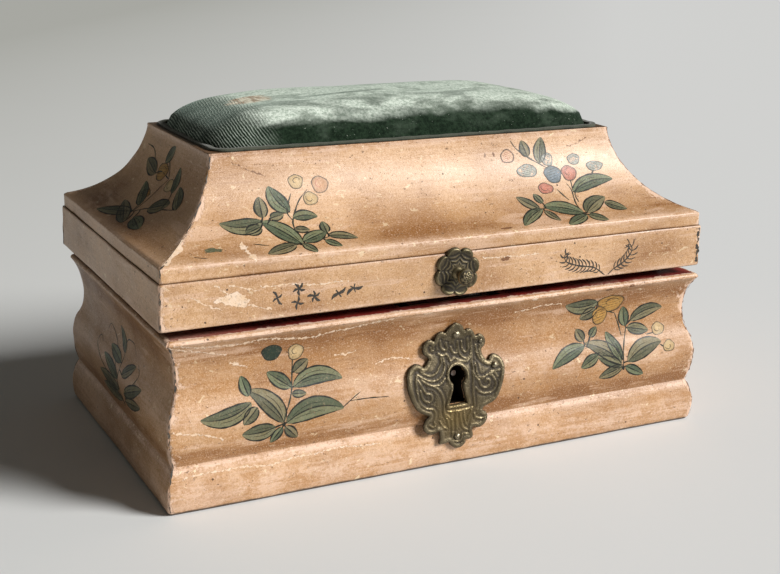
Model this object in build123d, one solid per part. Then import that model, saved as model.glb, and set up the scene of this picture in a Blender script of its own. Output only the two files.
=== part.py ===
from build123d import *
from math import cos, radians, sin
import os

# An old painted sewing box with moulded sides, a coved lid and a velvet pincushion on top.
# Millimetres. X runs along the front, the front faces -Y, and the middle of the base is the origin.
# An inset is measured inwards from the flat face line of the case or of the lid.

# Case: four moulded boards, mitred at the corners
case_length = 210.0
case_depth = 120.0
wall_thickness = 12.0
rim_height = 58.5
bottom_thickness = 6.0
bottom_rebate = 4.0

# Case moulding, from the foot to the lip
foot_inset = 0.3
torus_inset = -0.6
torus_height = 7.5
notch_inset = 1.8
notch_height = 16.0
ovolo_inset = 0.1
ovolo_height = 27.0
hollow_inset = 4.0
hollow_height = 44.3
lip_inset = 0.5
lip_round = 1.4
lip_flare = 0.8

# Lining strips stand proud of the rim, and the closed lid rests on them
lining_thickness = 3.0
partition_thickness = 3.0
partition_height = 34.0
middle_well_length = 84.0

# Hinges: the barrels lie in the joint between the rim and the lid
hinge_spacing = 120.0
hinge_width = 24.0
hinge_setback = 1.7
barrel_radius = 1.6
barrel_clearance = 0.05
hinge_pin_radius = 0.75
pin_clearance = 0.05
knuckle_length = 7.8
knuckle_gap = 0.15
leaf_depth = 9.0
leaf_thickness = 0.8
leaf_relief = 0.15
leaf_nail_spacing = 8.0
leaf_nail_back = 5.5

# Lid: mitred rails, with mitred coves above them and a flat board let in at the top
lid_shift_x = -1.5
lid_shift_y = 0.6
rail_height = 15.4
rail_thickness = 15.0
rail_edge_round = 0.6
cove_inset = 0.6
cove_lip_height = 4.4
cove_lip_round = 0.9
cove_run = 26.5
cove_height = 34.3
cove_radius = 36.0
cove_top_width = 6.0
top_board_thickness = 7.0

# Velvet cushion, and the piping round its foot
cushion_length = 143.0
cushion_depth = 60.0
cushion_crown = 13.8
piping_width = 2.0
piping_height = 2.6
piping_corner = 6.0
piping_round = 0.8
cushion_clearance = 0.3
cushion_swell = 0.9
cushion_shoulder = 0.86
cushion_turn = 0.72
cushion_end_share = 0.42
cushion_fullness = 0.45
cushion_corner_draw = 4.5
cushion_side_draw = 0.7
cushion_stations = 9

# Lock: a cap and a bolt on a bent plate, let into the inner side of the front board
keyhole_drop = 25.5
keyhole_radius = 3.2
keyhole_neck_width = 3.8
keyhole_neck_drop = 4.3
keyhole_foot_width = 7.0
keyhole_foot_drop = 10.2
lock_plate_width = 40.0
lock_plate_thickness = 1.0
lock_plate_reach = 15.0
lock_cap_width = 32.0
lock_cap_reach = 12.0
lock_cap_depth = 4.0
lock_cap_wall = 0.8
selvedge_thickness = 0.8
lock_keyhole_margin = 0.4
lock_nail_margin = 2.0
window_margin = 0.6
window_bridge = 5.3
drill_pin_radius = 1.0
drill_pin_length = 8.0

# Bolt and hook: the bolt slides along X into the notch of the lid's hook
bolt_travel = 5.0
bolt_nose_clearance = 1.0
bolt_height = 5.0
bolt_drop = 9.9
bolt_left = -14.5
bolt_nose = 4.0
bolt_side_clearance = 0.2
bolt_guide_clearance = 0.1
bolt_tail_left = -9.0
bolt_tail_width = 8.0
bolt_tail_height = 7.1
talon_width = 3.0
talon_height = 2.2
guide_height = 1.3
guide_front_left = -2.0
guide_front_width = 5.5
hook_left = 5.0
hook_width = 8.0
hook_thickness = 1.6
hook_toe_height = 3.1
hook_notch_clearance = 0.4
hook_base_width = 24.0
hook_base_depth = 5.4
hook_base_thickness = 0.8
hook_base_clearance = 0.4
hook_back_clearance = 0.2
hook_front_clearance = 1.4
hook_side_clearance = 0.6
hook_nail_margin = 2.6
spring_thickness = 0.4
spring_width = 2.2
spring_reach = 12.5
spring_gap = 0.15

# Escutcheon: a lobed plate bent to the moulding
plate_standoff = 0.15
plate_thickness = 1.0
plate_low = 5.0
plate_unit = 1.0
border_width = 1.4
border_height = 0.5
plate_spread = 60.0
plate_reach = 5.0

# Knob and rosette on the lid's front rail
knob_rise = 8.4
petal_count = 8
petal_circle = 5.8
petal_radius = 2.75
rosette_core = 6.2
rosette_thickness = 0.8
knob_collar_radius = 2.3
knob_collar_height = 1.2
knob_neck_radius = 1.3
knob_neck_length = 2.6
knob_head_radius = 3.0
knob_head_height = 3.4
knob_bell_height = 1.6
knob_collar_draw = (0.9, 0.75)
knob_shank_radius = 1.0
rove_radius = 2.6
rove_thickness = 0.6
rivet_height = 0.5

# Nails
nail_shank_radius = 0.4
nail_head_radius = 0.9
nail_head_height = 0.35
nail_length = 5.0
stud_head_radius = 1.15
stud_head_height = 0.75
stud_length = 3.6

# Levels and places that follow from the sizes above
lid_length = case_length
lid_depth = case_depth
joint_gap = 2 * (barrel_radius + barrel_clearance)
lid_bottom = rim_height + joint_gap
seam_height = lid_bottom + rail_height
lid_top = seam_height + cove_height
knob_height = lid_bottom + knob_rise
keyhole_height = rim_height - keyhole_drop
lock_plate_low = keyhole_height - lock_plate_reach
lock_cap_low = keyhole_height - lock_cap_reach
bolt_low = rim_height - bolt_drop
bolt_tail_low = bolt_low - bolt_tail_height
hook_low = bolt_low - hook_toe_height
hinge_axis_y = case_depth / 2 - hinge_setback
hinge_axis_z = rim_height + joint_gap / 2
lid_place = Pos(lid_shift_x, lid_shift_y, 0)
case_front = -case_depth / 2
lid_front = lid_shift_y - lid_depth / 2
inner_depth = case_depth - 2 * (wall_thickness + lining_thickness)
lock_plate_back = wall_thickness - lock_plate_thickness
lock_cap_front = lock_plate_back - lock_cap_depth
hook_notch_width = bolt_nose + bolt_travel + bolt_nose_clearance - hook_left

sides = {"front": 0, "right": 90, "back": 180, "left": 270}


def block(left, right, front, back, low, high):
    # A box given by its six face positions
    size = Box(right - left, back - front, high - low)
    return Pos((left + right) / 2, (front + back) / 2, (low + high) / 2) * size


def lock_block(left, right, front_inset, back_inset, low, high):
    # A box behind the case's front face, with its depth given as insets
    return block(left, right, case_front + front_inset, case_front + back_inset, low, high)


def bar(section, length, reach):
    # A bar along X of a section drawn as inset and height, with its face line at Y = -reach
    plane = Plane(origin=(0, -reach, 0), x_dir=(0, 1, 0), z_dir=(1, 0, 0))
    return extrude(plane * section, amount=length / 2, both=True)


def mitred(section, length, reach, low, high, depth):
    # The bar cut at 45 degrees at both ends, in the plan of a frame that is this long
    over = 4.0
    plan = Polygon(
        (-length / 2 - over, -reach - over),
        (length / 2 + over, -reach - over),
        (length / 2 - depth, -reach + depth),
        (-length / 2 + depth, -reach + depth),
        align=None,
    )
    wedge = Pos(0, 0, low) * extrude(plan, amount=high - low)
    return bar(section, length + 2 * over, reach) & wedge


def framed(section, length, depth, low, high, width):
    # The four mitred boards of a frame with this section, one for each side
    boards = {}
    for side, angle in sides.items():
        run, reach = (length, depth / 2) if angle % 180 == 0 else (depth, length / 2)
        boards[side] = Rot(0, 0, angle) * mitred(section, run, reach, low, high, width)
    return boards


def case_face(shift):
    # The upper case moulding from the ovolo's crest to the lip, moved outwards by shift
    crest = (ovolo_inset - shift, ovolo_height)
    hollow = (hollow_inset - shift, hollow_height)
    middle = ((crest[0] + hollow[0]) / 2, (ovolo_height + hollow_height) / 2)
    lip = (lip_inset - shift, rim_height - lip_round)
    swell = TangentArc(crest, middle, tangent=(0, 1))
    sink = TangentArc(hollow, middle, tangent=(0, -1))
    flare = Spline(hollow, lip, tangents=[(0, 1), (-lip_flare, 1)])
    return swell + sink + flare


def case_section():
    # Section of a case wall: torus, notch, ovolo, hollow and lip, with a rebate for the bottom
    foot = (foot_inset, 0)
    notch = (notch_inset, notch_height)
    crest = (ovolo_inset, ovolo_height)
    lip = (lip_inset, rim_height - lip_round)
    rim_edge = (lip_inset + lip_round, rim_height)
    torus = ThreePointArc(foot, (torus_inset, torus_height), notch)
    lower_ovolo = TangentArc(crest, notch, tangent=(0, -1))
    lip_curve = TangentArc(rim_edge, lip, tangent=(-1, 0))
    rest = Polyline(
        rim_edge,
        (wall_thickness, rim_height),
        (wall_thickness, bottom_thickness),
        (wall_thickness - bottom_rebate, bottom_thickness),
        (wall_thickness - bottom_rebate, 0),
        foot,
    )
    return make_face(torus + lower_ovolo + case_face(0) + lip_curve + rest)


def front_prism(outline, front, back):
    # An outline drawn in X and Z, carried from the front position to the back one along Y
    plane = Plane(origin=(0, front, 0), x_dir=(1, 0, 0), z_dir=(0, -1, 0))
    return extrude(plane * outline, amount=-(back - front))


def keyhole_outline(margin=0.0):
    # Round eye above a skirt that widens to its foot, centred on the eye
    eye = Circle(keyhole_radius + margin)
    neck = keyhole_neck_width / 2 + margin
    foot = keyhole_foot_width / 2 + margin
    drop = keyhole_foot_drop + margin
    skirt = Polygon(
        (-neck, 0),
        (-neck, -keyhole_neck_drop),
        (-foot, -drop),
        (foot, -drop),
        (neck, -keyhole_neck_drop),
        (neck, 0),
        align=None,
    )
    return Pos(0, keyhole_height) * (eye + skirt)


def nail(place, direction, head_radius=nail_head_radius, head_height=nail_head_height, length=nail_length):
    # A nail whose head sits on the point place, driven along direction
    plane = Plane(origin=place, z_dir=direction)
    shank = plane * Pos(0, 0, length / 2) * Cylinder(nail_shank_radius, length)
    return shank + dome(place, direction, head_radius, head_height)


def dome(place, direction, radius, height):
    # A domed nail head on the point place, standing out against direction
    profile = make_face(
        Line((0, 0), (radius, 0))
        + TangentArc((0, height), (radius, 0), tangent=(1, 0))
        + Line((0, height), (0, 0))
    )
    head = revolve(Plane.XZ * profile, axis=Axis.Z)
    return Plane(origin=place, z_dir=-Vector(direction)) * head


def bored(solid, nails):
    # The solid with holes for the nails
    for item in nails:
        solid = solid - item
    return solid


def bolt():
    # Flat bolt with a square nose, and a tail with the talon that the key's bit pushes
    front = lock_cap_front + lock_cap_wall + bolt_side_clearance
    back = lock_plate_back - bolt_side_clearance
    body = lock_block(bolt_left, bolt_nose, front, back, bolt_low, bolt_low + bolt_height)
    tail_right = bolt_tail_left + bolt_tail_width
    tail = lock_block(bolt_tail_left, tail_right, front, back, bolt_tail_low, bolt_low)
    middle = bolt_tail_left + bolt_tail_width / 2
    talon = lock_block(
        middle - talon_width / 2, middle + talon_width / 2, front, back, bolt_tail_low, bolt_tail_low + talon_height
    )
    return body + tail - talon


def hook_insets():
    # Front and back insets of the hook's blade, just clear of the lock plate
    back = lock_plate_back - bolt_side_clearance - hook_back_clearance
    return back - hook_thickness, back


def hook_base_middle():
    # The hook's base plate stands clear of the proud lining behind it
    return wall_thickness - hook_base_clearance - hook_base_depth / 2


def lid_hook(nails):
    # Flat hook under the lid's front rail, with a notch on its left for the bolt
    front, back = hook_insets()
    right = hook_left + hook_width
    middle = hook_base_middle()
    base_top = lid_bottom
    base_low = lid_bottom - hook_base_thickness
    base_left = (hook_left + right - hook_base_width) / 2
    base = lock_block(
        base_left,
        base_left + hook_base_width,
        middle - hook_base_depth / 2,
        middle + hook_base_depth / 2,
        base_low,
        base_top,
    )
    blade = lock_block(hook_left, right, front, back, hook_low, base_low)
    notch = lock_block(
        hook_left,
        hook_left + hook_notch_width,
        front,
        back,
        bolt_low - hook_notch_clearance,
        bolt_low + bolt_height + hook_notch_clearance,
    )
    return bored(base + blade - notch, nails)


def hook_nails():
    middle = hook_left + hook_width / 2
    reach = hook_base_width / 2 - hook_nail_margin
    low = lid_bottom - hook_base_thickness
    depth = case_front + hook_base_middle()
    return [nail((middle + side * reach, depth, low), (0, 0, 1)) for side in (-1, 1)]


def lock_plate(nails):
    # Plate on the inner side, bent over the rim as a selvedge with a slot for the hook
    plate = lock_block(
        -lock_plate_width / 2, lock_plate_width / 2, lock_plate_back, wall_thickness, lock_plate_low, rim_height
    )
    selvedge = lock_block(
        -lock_cap_width / 2,
        lock_cap_width / 2,
        lock_cap_front,
        lock_plate_back,
        rim_height - selvedge_thickness,
        rim_height,
    )
    front, back = hook_insets()
    slot = lock_block(
        hook_left - hook_side_clearance,
        hook_left + hook_width + hook_side_clearance,
        front - hook_front_clearance,
        back + hook_back_clearance,
        rim_height - selvedge_thickness,
        rim_height,
    )
    return bored(plate + selvedge - slot, nails)


def lock_cap():
    # Shallow box over the bolt, open to the plate, with its own keyhole and the bolt's guides
    half = lock_cap_width / 2
    top = rim_height - selvedge_thickness
    inner_front = lock_cap_front + lock_cap_wall
    shell = lock_block(-half, half, lock_cap_front, lock_plate_back, lock_cap_low, top)
    inside = lock_block(
        -half + lock_cap_wall, half - lock_cap_wall, inner_front, lock_plate_back, lock_cap_low + lock_cap_wall, top
    )
    hole = front_prism(
        keyhole_outline(lock_keyhole_margin), case_front + lock_cap_front, case_front + inner_front
    )
    under = bolt_low - bolt_guide_clearance
    over = bolt_low + bolt_height + bolt_guide_clearance
    tail_guide = lock_block(
        -half, bolt_tail_left - bolt_guide_clearance, inner_front, lock_plate_back, under - guide_height, under
    )
    nose_guide = lock_block(
        guide_front_left, guide_front_left + guide_front_width, inner_front, lock_plate_back, over, over + guide_height
    )
    return shell - inside - hole + tail_guide + nose_guide


def lock_spring():
    # Leaf spring from the cap's side wall down to the bolt's upper edge
    left = -lock_cap_width / 2 + lock_cap_wall
    foot = bolt_low + bolt_height + spring_gap
    top = rim_height - selvedge_thickness - spring_thickness - spring_gap
    start = (left, top)
    middle = (left + spring_reach / 2, (top + 2 * foot) / 3)
    end = (left + spring_reach, foot)
    lower = ThreePointArc(start, middle, end)
    upper = Pos(0, spring_thickness) * lower
    strip = make_face(
        lower
        + upper
        + Line(start, (left, top + spring_thickness))
        + Line(end, (end[0], foot + spring_thickness))
    )
    front = case_front + (lock_cap_front + lock_cap_wall + lock_plate_back - spring_width) / 2
    return front_prism(strip, front, front + spring_width)


def drill_pin():
    # The pin that a piped key slides over, standing on the lock plate
    length = drill_pin_length
    middle = case_front + lock_plate_back - length / 2
    return Pos(0, middle, keyhole_height) * Rot(90, 0, 0) * Cylinder(drill_pin_radius, length)


def lock_nails():
    reach = lock_plate_width / 2 - lock_nail_margin
    low = lock_plate_low + 2 * lock_nail_margin
    high = rim_height - 2 * lock_nail_margin
    inner = case_front + wall_thickness
    return [nail((x, inner, z), (0, -1, 0)) for x in (-reach, reach) for z in (low, high)]


def lock_mortise():
    # Room in the front board for the plate, its selvedge and the cap, and the keyhole through it
    plate = lock_block(
        -lock_plate_width / 2, lock_plate_width / 2, lock_plate_back, wall_thickness, lock_plate_low, rim_height
    )
    cap = lock_block(
        -lock_cap_width / 2, lock_cap_width / 2, lock_cap_front, lock_plate_back, lock_cap_low, rim_height
    )
    hole = front_prism(keyhole_outline(), case_front + torus_inset, case_front + lock_cap_front)
    return plate + cap + hole


def plate_prism(front, back):
    # The escutcheon's lobed outline, the same on both sides, carried from front to back.
    # Its points are counted in units of the plate, from the middle of the keyhole's eye.
    wing = make_face(
        Spline(
            (13.2, 5.4), (15.6, 6.3), (18.3, 4.4), (19.6, 0.4), (18.6, -5.4), (15.8, -10.3), (11.0, -12.6)
        )
        + Polyline((11.0, -12.6), (4.0, -13.5), (4.0, 9.5), (9.3, 7.4), (11.6, 4.6), (13.2, 5.4))
    )
    body = Polygon(
        (0, -23.5),
        (5.2, -22.5),
        (9.6, -17.0),
        (8.2, -13.2),
        (6.0, -12.0),
        (6.0, 6.0),
        (8.6, 7.8),
        (9.0, 12.0),
        (5.0, 15.5),
        (0, 16.5),
        align=None,
    )
    lobes = [
        Pos(5.3, 14.9) * Circle(2.3),
        Pos(9.8, 11.6) * Circle(2.6),
        Pos(10.0, -17.2) * Circle(3.1),
        Pos(5.2, -22.5) * Circle(2.1),
        Pos(0, 17.0) * Circle(2.7),
        Pos(0, -24.1) * Circle(3.3),
    ]
    eye = Pos(0, keyhole_height)
    half = front_prism(eye * scale(body, plate_unit), front, back)
    for shape in [wing] + lobes:
        half = half + front_prism(eye * scale(shape, plate_unit), front, back)
    return half + mirror(half, about=Plane.YZ)


def plate_band(standoff, thickness):
    # A sheet over the case moulding: it bridges the notch and follows the ovolo and the hollow
    def edge(shift):
        low = (torus_inset - shift, plate_low - 1)
        torus = (torus_inset - shift, torus_height)
        crest = (ovolo_inset - shift, ovolo_height)
        bridge = Spline(torus, crest, tangents=[(0, 1), (0, 1)])
        return Line(low, torus) + bridge + case_face(shift)

    inner = edge(standoff)
    outer = edge(standoff + thickness)
    lip_height = rim_height - lip_round
    ends = Line((torus_inset - standoff, plate_low - 1), (torus_inset - standoff - thickness, plate_low - 1))
    ends = ends + Line((lip_inset - standoff, lip_height), (lip_inset - standoff - thickness, lip_height))
    return bar(make_face(inner + outer + ends), plate_spread, case_depth / 2)


def escutcheon(nails):
    # Lobed plate with a raised border round the keyhole
    front = case_front - plate_reach
    back = case_front + plate_reach
    plate = plate_band(plate_standoff, plate_thickness) & plate_prism(front, back)
    border_shape = front_prism(keyhole_outline(border_width), front, back)
    border = plate_band(plate_standoff + plate_thickness, border_height) & border_shape
    hole = front_prism(keyhole_outline(), front, back)
    return bored(plate + border - hole, nails)


def surface_inset(height):
    # How far the escutcheon's outer face lies behind the case's face line at this height
    strip = Pos(0, 0, height) * Box(1, case_depth, 0.02)
    hit = plate_band(plate_standoff, plate_thickness) & (Pos(0, case_front, 0) * strip)
    return hit.bounding_box().min.Y - case_front


def escutcheon_pins():
    # Three dome-headed pins and a smaller one, set as the plate's pins are
    pins = []
    for across, rise, share in ((-0.9, 14.2, 1.0), (14.6, 1.7, 1.0), (0.0, -22.6, 1.0), (8.7, 11.7, 0.7)):
        height = keyhole_height + rise * plate_unit
        place = (across * plate_unit, case_front + surface_inset(height), height)
        pins.append(nail(place, (0, 1, 0), stud_head_radius * share, stud_head_height * share, stud_length * share))
    return pins


def knuckles(centres, bore_radius):
    # Hinge knuckles on the hinge axis, each with its bore
    barrels = [
        Pos(x, hinge_axis_y, hinge_axis_z) * Rot(0, 90, 0) * Cylinder(barrel_radius, knuckle_length) for x in centres
    ]
    bores = [
        Pos(x, hinge_axis_y, hinge_axis_z) * Rot(0, 90, 0) * Cylinder(bore_radius, 2 * knuckle_length)
        for x in centres
    ]
    return barrels, bores


def leaf(own, other, low, bore_radius, nails):
    # A hinge leaf with its own knuckles, cut back beside the other leaf's knuckles
    half = hinge_width / 2
    sheet = block(-half, half, hinge_axis_y - leaf_depth, hinge_axis_y, low, low + leaf_thickness)
    for x in other:
        reach = knuckle_length / 2 + knuckle_gap
        sheet = sheet - block(
            x - reach, x + reach, hinge_axis_y - barrel_radius - leaf_relief, hinge_axis_y, low, low + leaf_thickness
        )
    barrels, bores = knuckles(own, bore_radius)
    for piece in barrels:
        sheet = sheet + piece
    return bored(bored(sheet, bores), nails)


def leaf_nails(low, direction):
    depth = hinge_axis_y - leaf_nail_back
    return [nail((x * leaf_nail_spacing, depth, low), (0, 0, direction)) for x in (-1, 0, 1)]


def case_leaf(nails):
    outer = knuckle_length + knuckle_gap
    return leaf((-outer, outer), (0,), rim_height, hinge_pin_radius, nails)


def lid_leaf(nails):
    outer = knuckle_length + knuckle_gap
    bore = hinge_pin_radius + pin_clearance
    return leaf((0,), (-outer, outer), lid_bottom - leaf_thickness, bore, nails)


def hinge_pin():
    length = 3 * knuckle_length + 2 * knuckle_gap
    return Pos(0, hinge_axis_y, hinge_axis_z) * Rot(0, 90, 0) * Cylinder(hinge_pin_radius, length)


def rail_section():
    # Square rail with softened lower and upper outer edges
    middle = lid_bottom + rail_height / 2
    face = Pos(rail_thickness / 2, middle) * Rectangle(rail_thickness, rail_height)
    outer_corners = face.vertices().group_by(Axis.X)[0]
    return fillet(outer_corners, radius=rail_edge_round)


def cove_section():
    # Upright lip, hollow quarter above it, and a sloping inner face
    lip_top = seam_height + cove_lip_height
    lip_start = (cove_inset, lip_top)
    curve_start = (cove_inset + cove_lip_round, lip_top + cove_lip_round)
    edge = (cove_run, lid_top)
    lip_curve = TangentArc(lip_start, curve_start, tangent=(0, 1))
    hollow = RadiusArc(curve_start, edge, -cove_radius)
    rest = Polyline(
        edge,
        (cove_run + cove_top_width, lid_top),
        (cove_run + cove_top_width, lid_top - top_board_thickness),
        (rail_thickness, seam_height),
        (cove_inset, seam_height),
        lip_start,
    )
    return make_face(lip_curve + hollow + rest)


def top_board():
    # Flat board between the coves' upper edges, which carries the cushion
    margin = cove_run + cove_top_width
    return lid_place * block(
        margin - lid_length / 2,
        lid_length / 2 - margin,
        margin - lid_depth / 2,
        lid_depth / 2 - margin,
        lid_top - top_board_thickness,
        lid_top,
    )


def cushion_profile(width, height):
    # Half-moon section on a flat foot: swelling sides that turn into the crown
    foot = width / 2 - piping_width - cushion_clearance - cushion_swell
    shoulder = cushion_shoulder * foot
    turn = cushion_turn * height
    side = ((foot + shoulder) / 2 + cushion_swell, turn / 2)
    base = Line((-foot, 0), (foot, 0))
    right = ThreePointArc((foot, 0), side, (shoulder, turn))
    crown = ThreePointArc((shoulder, turn), (0, height), (-shoulder, turn))
    left = ThreePointArc((-shoulder, turn), (-side[0], side[1]), (-foot, 0))
    return make_face(base + right + crown + left)


def cushion():
    # Loft along X with stations at equal angles: full in the middle, steep and drawn in at the ends
    half = cushion_length / 2 - piping_width - cushion_clearance
    sections = []
    for station in range(cushion_stations):
        angle = radians(180 * station / (cushion_stations - 1) - 90)
        fullness = max(cos(angle), 0) ** cushion_fullness
        height = cushion_crown * (cushion_end_share + (1 - cushion_end_share) * fullness)
        waist = cushion_side_draw * cos(angle) ** 2
        corner = cushion_corner_draw * (1 - fullness) ** 2
        plane = Plane(origin=(half * sin(angle), 0, lid_top), x_dir=(0, 1, 0), z_dir=(1, 0, 0))
        sections.append(plane * cushion_profile(cushion_depth - 2 * (waist + corner), height))
    return lid_place * loft(sections)


def cushion_piping():
    # Round-edged band that covers the cushion's tacked foot
    outer = RectangleRounded(cushion_length, cushion_depth, piping_corner)
    inner = RectangleRounded(
        cushion_length - 2 * piping_width, cushion_depth - 2 * piping_width, piping_corner - piping_width
    )
    band = extrude(outer - inner, amount=piping_height)
    top_edges = band.edges().group_by(Axis.Z)[-1]
    return lid_place * Pos(0, 0, lid_top) * fillet(top_edges, radius=piping_round)


def rosette():
    # Eight-petalled disc flat on the lid's front
    flower = Circle(rosette_core)
    for place in PolarLocations(petal_circle, petal_count):
        flower = flower + place * Circle(petal_radius)
    flower = flower - Circle(knob_shank_radius)
    return lid_place * front_prism(Pos(0, knob_height) * flower, -lid_depth / 2 - rosette_thickness, -lid_depth / 2)


def knob():
    # Turned knob: shank through the rail, riveted end, collar, waist and round head
    back = rail_thickness + rove_thickness + rivet_height
    collar = rosette_thickness + knob_collar_height
    neck = collar + knob_neck_length
    widest = neck + knob_bell_height
    tip = neck + knob_head_height
    riveted = knob_shank_radius + rivet_height
    profile = make_face(
        Polyline(
            (0, -back),
            (knob_shank_radius, -back),
            (riveted, -rail_thickness - rove_thickness),
            (knob_shank_radius, -rail_thickness - rove_thickness),
            (knob_shank_radius, rosette_thickness),
            (knob_collar_radius, rosette_thickness),
        )
        + ThreePointArc(
            (knob_collar_radius, rosette_thickness),
            (knob_collar_draw[0] * knob_collar_radius, rosette_thickness + knob_collar_draw[1] * knob_collar_height),
            (knob_neck_radius, collar),
        )
        + Line((knob_neck_radius, collar), (knob_neck_radius, neck))
        + Line((knob_neck_radius, neck), (knob_head_radius, widest))
        + TangentArc((0, tip), (knob_head_radius, widest), tangent=(1, 0))
        + Line((0, tip), (0, -back))
    )
    turned = revolve(Plane.XZ * profile, axis=Axis.Z)
    place = Plane(origin=(lid_shift_x, lid_front, knob_height), z_dir=(0, -1, 0))
    return place * turned


def knob_rove():
    # Washer inside the lid, under the knob's riveted end
    ring = Circle(rove_radius) - Circle(knob_shank_radius)
    back = rail_thickness - lid_depth / 2
    return lid_place * front_prism(Pos(0, knob_height) * ring, back, back + rove_thickness)


def partitions():
    # Two cross partitions and a middle one between them, standing on the bottom
    low = bottom_thickness
    high = bottom_thickness + partition_height
    half = middle_well_length / 2
    deep = inner_depth / 2
    left = block(-half - partition_thickness, -half, -deep, deep, low, high)
    right = block(half, half + partition_thickness, -deep, deep, low, high)
    middle = block(-half, half, -partition_thickness / 2, partition_thickness / 2, low, high)
    return {"partition_left": left, "partition_right": right, "partition_middle": middle}


def linings():
    # Four thin strips inside the walls; the front one has a window over the lock plate
    height = lid_bottom - bottom_thickness
    strip = Pos(wall_thickness + lining_thickness / 2, bottom_thickness + height / 2) * Rectangle(
        lining_thickness, height
    )
    depth = wall_thickness + lining_thickness
    boards = framed(strip, case_length, case_depth, bottom_thickness, lid_bottom, depth)
    half = lock_plate_width / 2 + window_margin
    window = lock_block(
        -half, half, wall_thickness, depth, lock_plate_low - window_margin, lid_bottom - window_bridge
    )
    boards["front"] = boards["front"] - window
    return {side + "_lining": board for side, board in boards.items()}


def bottom_board():
    reach = wall_thickness - bottom_rebate
    return block(
        reach - case_length / 2,
        case_length / 2 - reach,
        reach - case_depth / 2,
        case_depth / 2 - reach,
        0,
        bottom_thickness,
    )


def placed(x, items):
    # The items moved along X, such as one hinge's pieces
    return [Pos(x, 0, 0) * item for item in items]


def build_parts():
    parts = {}
    pins = escutcheon_pins()
    plate_nails = lock_nails()
    catch_nails = hook_nails()
    places = {"left": -hinge_spacing / 2, "right": hinge_spacing / 2}
    low_nails = leaf_nails(rim_height + leaf_thickness, -1)
    high_nails = leaf_nails(lid_bottom - leaf_thickness, 1)
    all_low = [n for x in places.values() for n in placed(x, low_nails)]
    all_high = [n for x in places.values() for n in placed(x, high_nails)]

    case = framed(case_section(), case_length, case_depth, 0, rim_height, wall_thickness)
    case["front"] = bored(case["front"] - lock_mortise(), pins + plate_nails)
    case["back"] = bored(case["back"], all_low)
    for side, board in case.items():
        parts[side + "_board"] = board
    parts["bottom_board"] = bottom_board()
    parts.update(linings())
    parts.update(partitions())

    parts["lock_plate"] = lock_plate(plate_nails)
    parts["lock_cap"] = lock_cap()
    parts["lock_spring"] = lock_spring()
    parts["drill_pin"] = drill_pin()
    parts["lock_nails"] = Compound(plate_nails)
    parts["lock_bolt"] = bolt()
    parts["escutcheon"] = escutcheon(pins)
    parts["escutcheon_pins"] = Compound(pins)

    for side, x in places.items():
        parts["case_leaf_" + side] = Pos(x, 0, 0) * case_leaf(low_nails)
        parts["lid_leaf_" + side] = Pos(x, 0, 0) * lid_leaf(high_nails)
        parts["hinge_pin_" + side] = Pos(x, 0, 0) * hinge_pin()
    parts["case_leaf_nails"] = Compound(all_low)
    parts["lid_leaf_nails"] = Compound(all_high)

    rails = framed(rail_section(), lid_length, lid_depth, lid_bottom, seam_height, rail_thickness)
    coves = framed(cove_section(), lid_length, lid_depth, seam_height, lid_top, cove_run + cove_top_width)
    shank = knob()
    for side in sides:
        parts["lid_" + side + "_rail"] = lid_place * rails[side]
        parts["lid_" + side + "_cove"] = lid_place * coves[side]
    parts["lid_front_rail"] = bored(parts["lid_front_rail"], [shank] + catch_nails)
    parts["lid_back_rail"] = bored(parts["lid_back_rail"], all_high)
    parts["lid_top_board"] = top_board()
    parts["lid_hook"] = lid_hook(catch_nails)
    parts["lid_hook_nails"] = Compound(catch_nails)
    parts["knob"] = shank
    parts["knob_rosette"] = rosette()
    parts["knob_rove"] = knob_rove()
    parts["cushion"] = cushion()
    parts["cushion_piping"] = cushion_piping()
    return parts


os.makedirs("parts", exist_ok=True)
for name, solid in build_parts().items():
    export_step(solid, os.path.join("parts", name + ".step"))
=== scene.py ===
import math

import bmesh
import bpy
import numpy as np
from mathutils import Matrix, Vector


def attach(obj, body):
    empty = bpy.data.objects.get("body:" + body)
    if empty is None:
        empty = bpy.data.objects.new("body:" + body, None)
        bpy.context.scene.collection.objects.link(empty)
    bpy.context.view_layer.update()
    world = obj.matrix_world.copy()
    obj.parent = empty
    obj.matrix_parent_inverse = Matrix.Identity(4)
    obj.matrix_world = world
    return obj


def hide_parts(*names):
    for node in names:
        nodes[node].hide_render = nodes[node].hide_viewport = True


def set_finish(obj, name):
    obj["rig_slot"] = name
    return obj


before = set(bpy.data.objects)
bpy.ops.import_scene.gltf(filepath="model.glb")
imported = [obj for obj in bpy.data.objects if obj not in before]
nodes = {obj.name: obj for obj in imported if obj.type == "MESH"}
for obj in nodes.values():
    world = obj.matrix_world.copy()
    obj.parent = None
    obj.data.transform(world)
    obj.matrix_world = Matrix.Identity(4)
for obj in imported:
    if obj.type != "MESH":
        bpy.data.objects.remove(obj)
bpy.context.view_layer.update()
mm = 0.001
print("frame loaded:", len(nodes), "nodes")

turns = {"front": 0, "right": 90, "back": 180, "left": 270}   # each board is made as a front one and turned


def turned(points, side):
    # Turns points about Z by the side's angle
    a = math.radians(turns[side])
    x, y, z = points[..., 0], points[..., 1], points[..., 2]
    return np.stack([x * math.cos(a) - y * math.sin(a), x * math.sin(a) + y * math.cos(a), z], -1)


def shifted(points, shape):
    return points + np.array([*shape["shift"], 0.0])


def linked(name, data):
    obj = bpy.data.objects.new(name, data)
    bpy.context.scene.collection.objects.link(obj)
    return obj


def evaluated(obj):
    # The mesh that an object has after its modifiers
    return bpy.data.meshes.new_from_object(obj.evaluated_get(bpy.context.evaluated_depsgraph_get()))


def placesOf(obj):
    # Vertex positions in millimetres
    return np.array([v.co[:] for v in obj.data.vertices]) / mm


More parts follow.
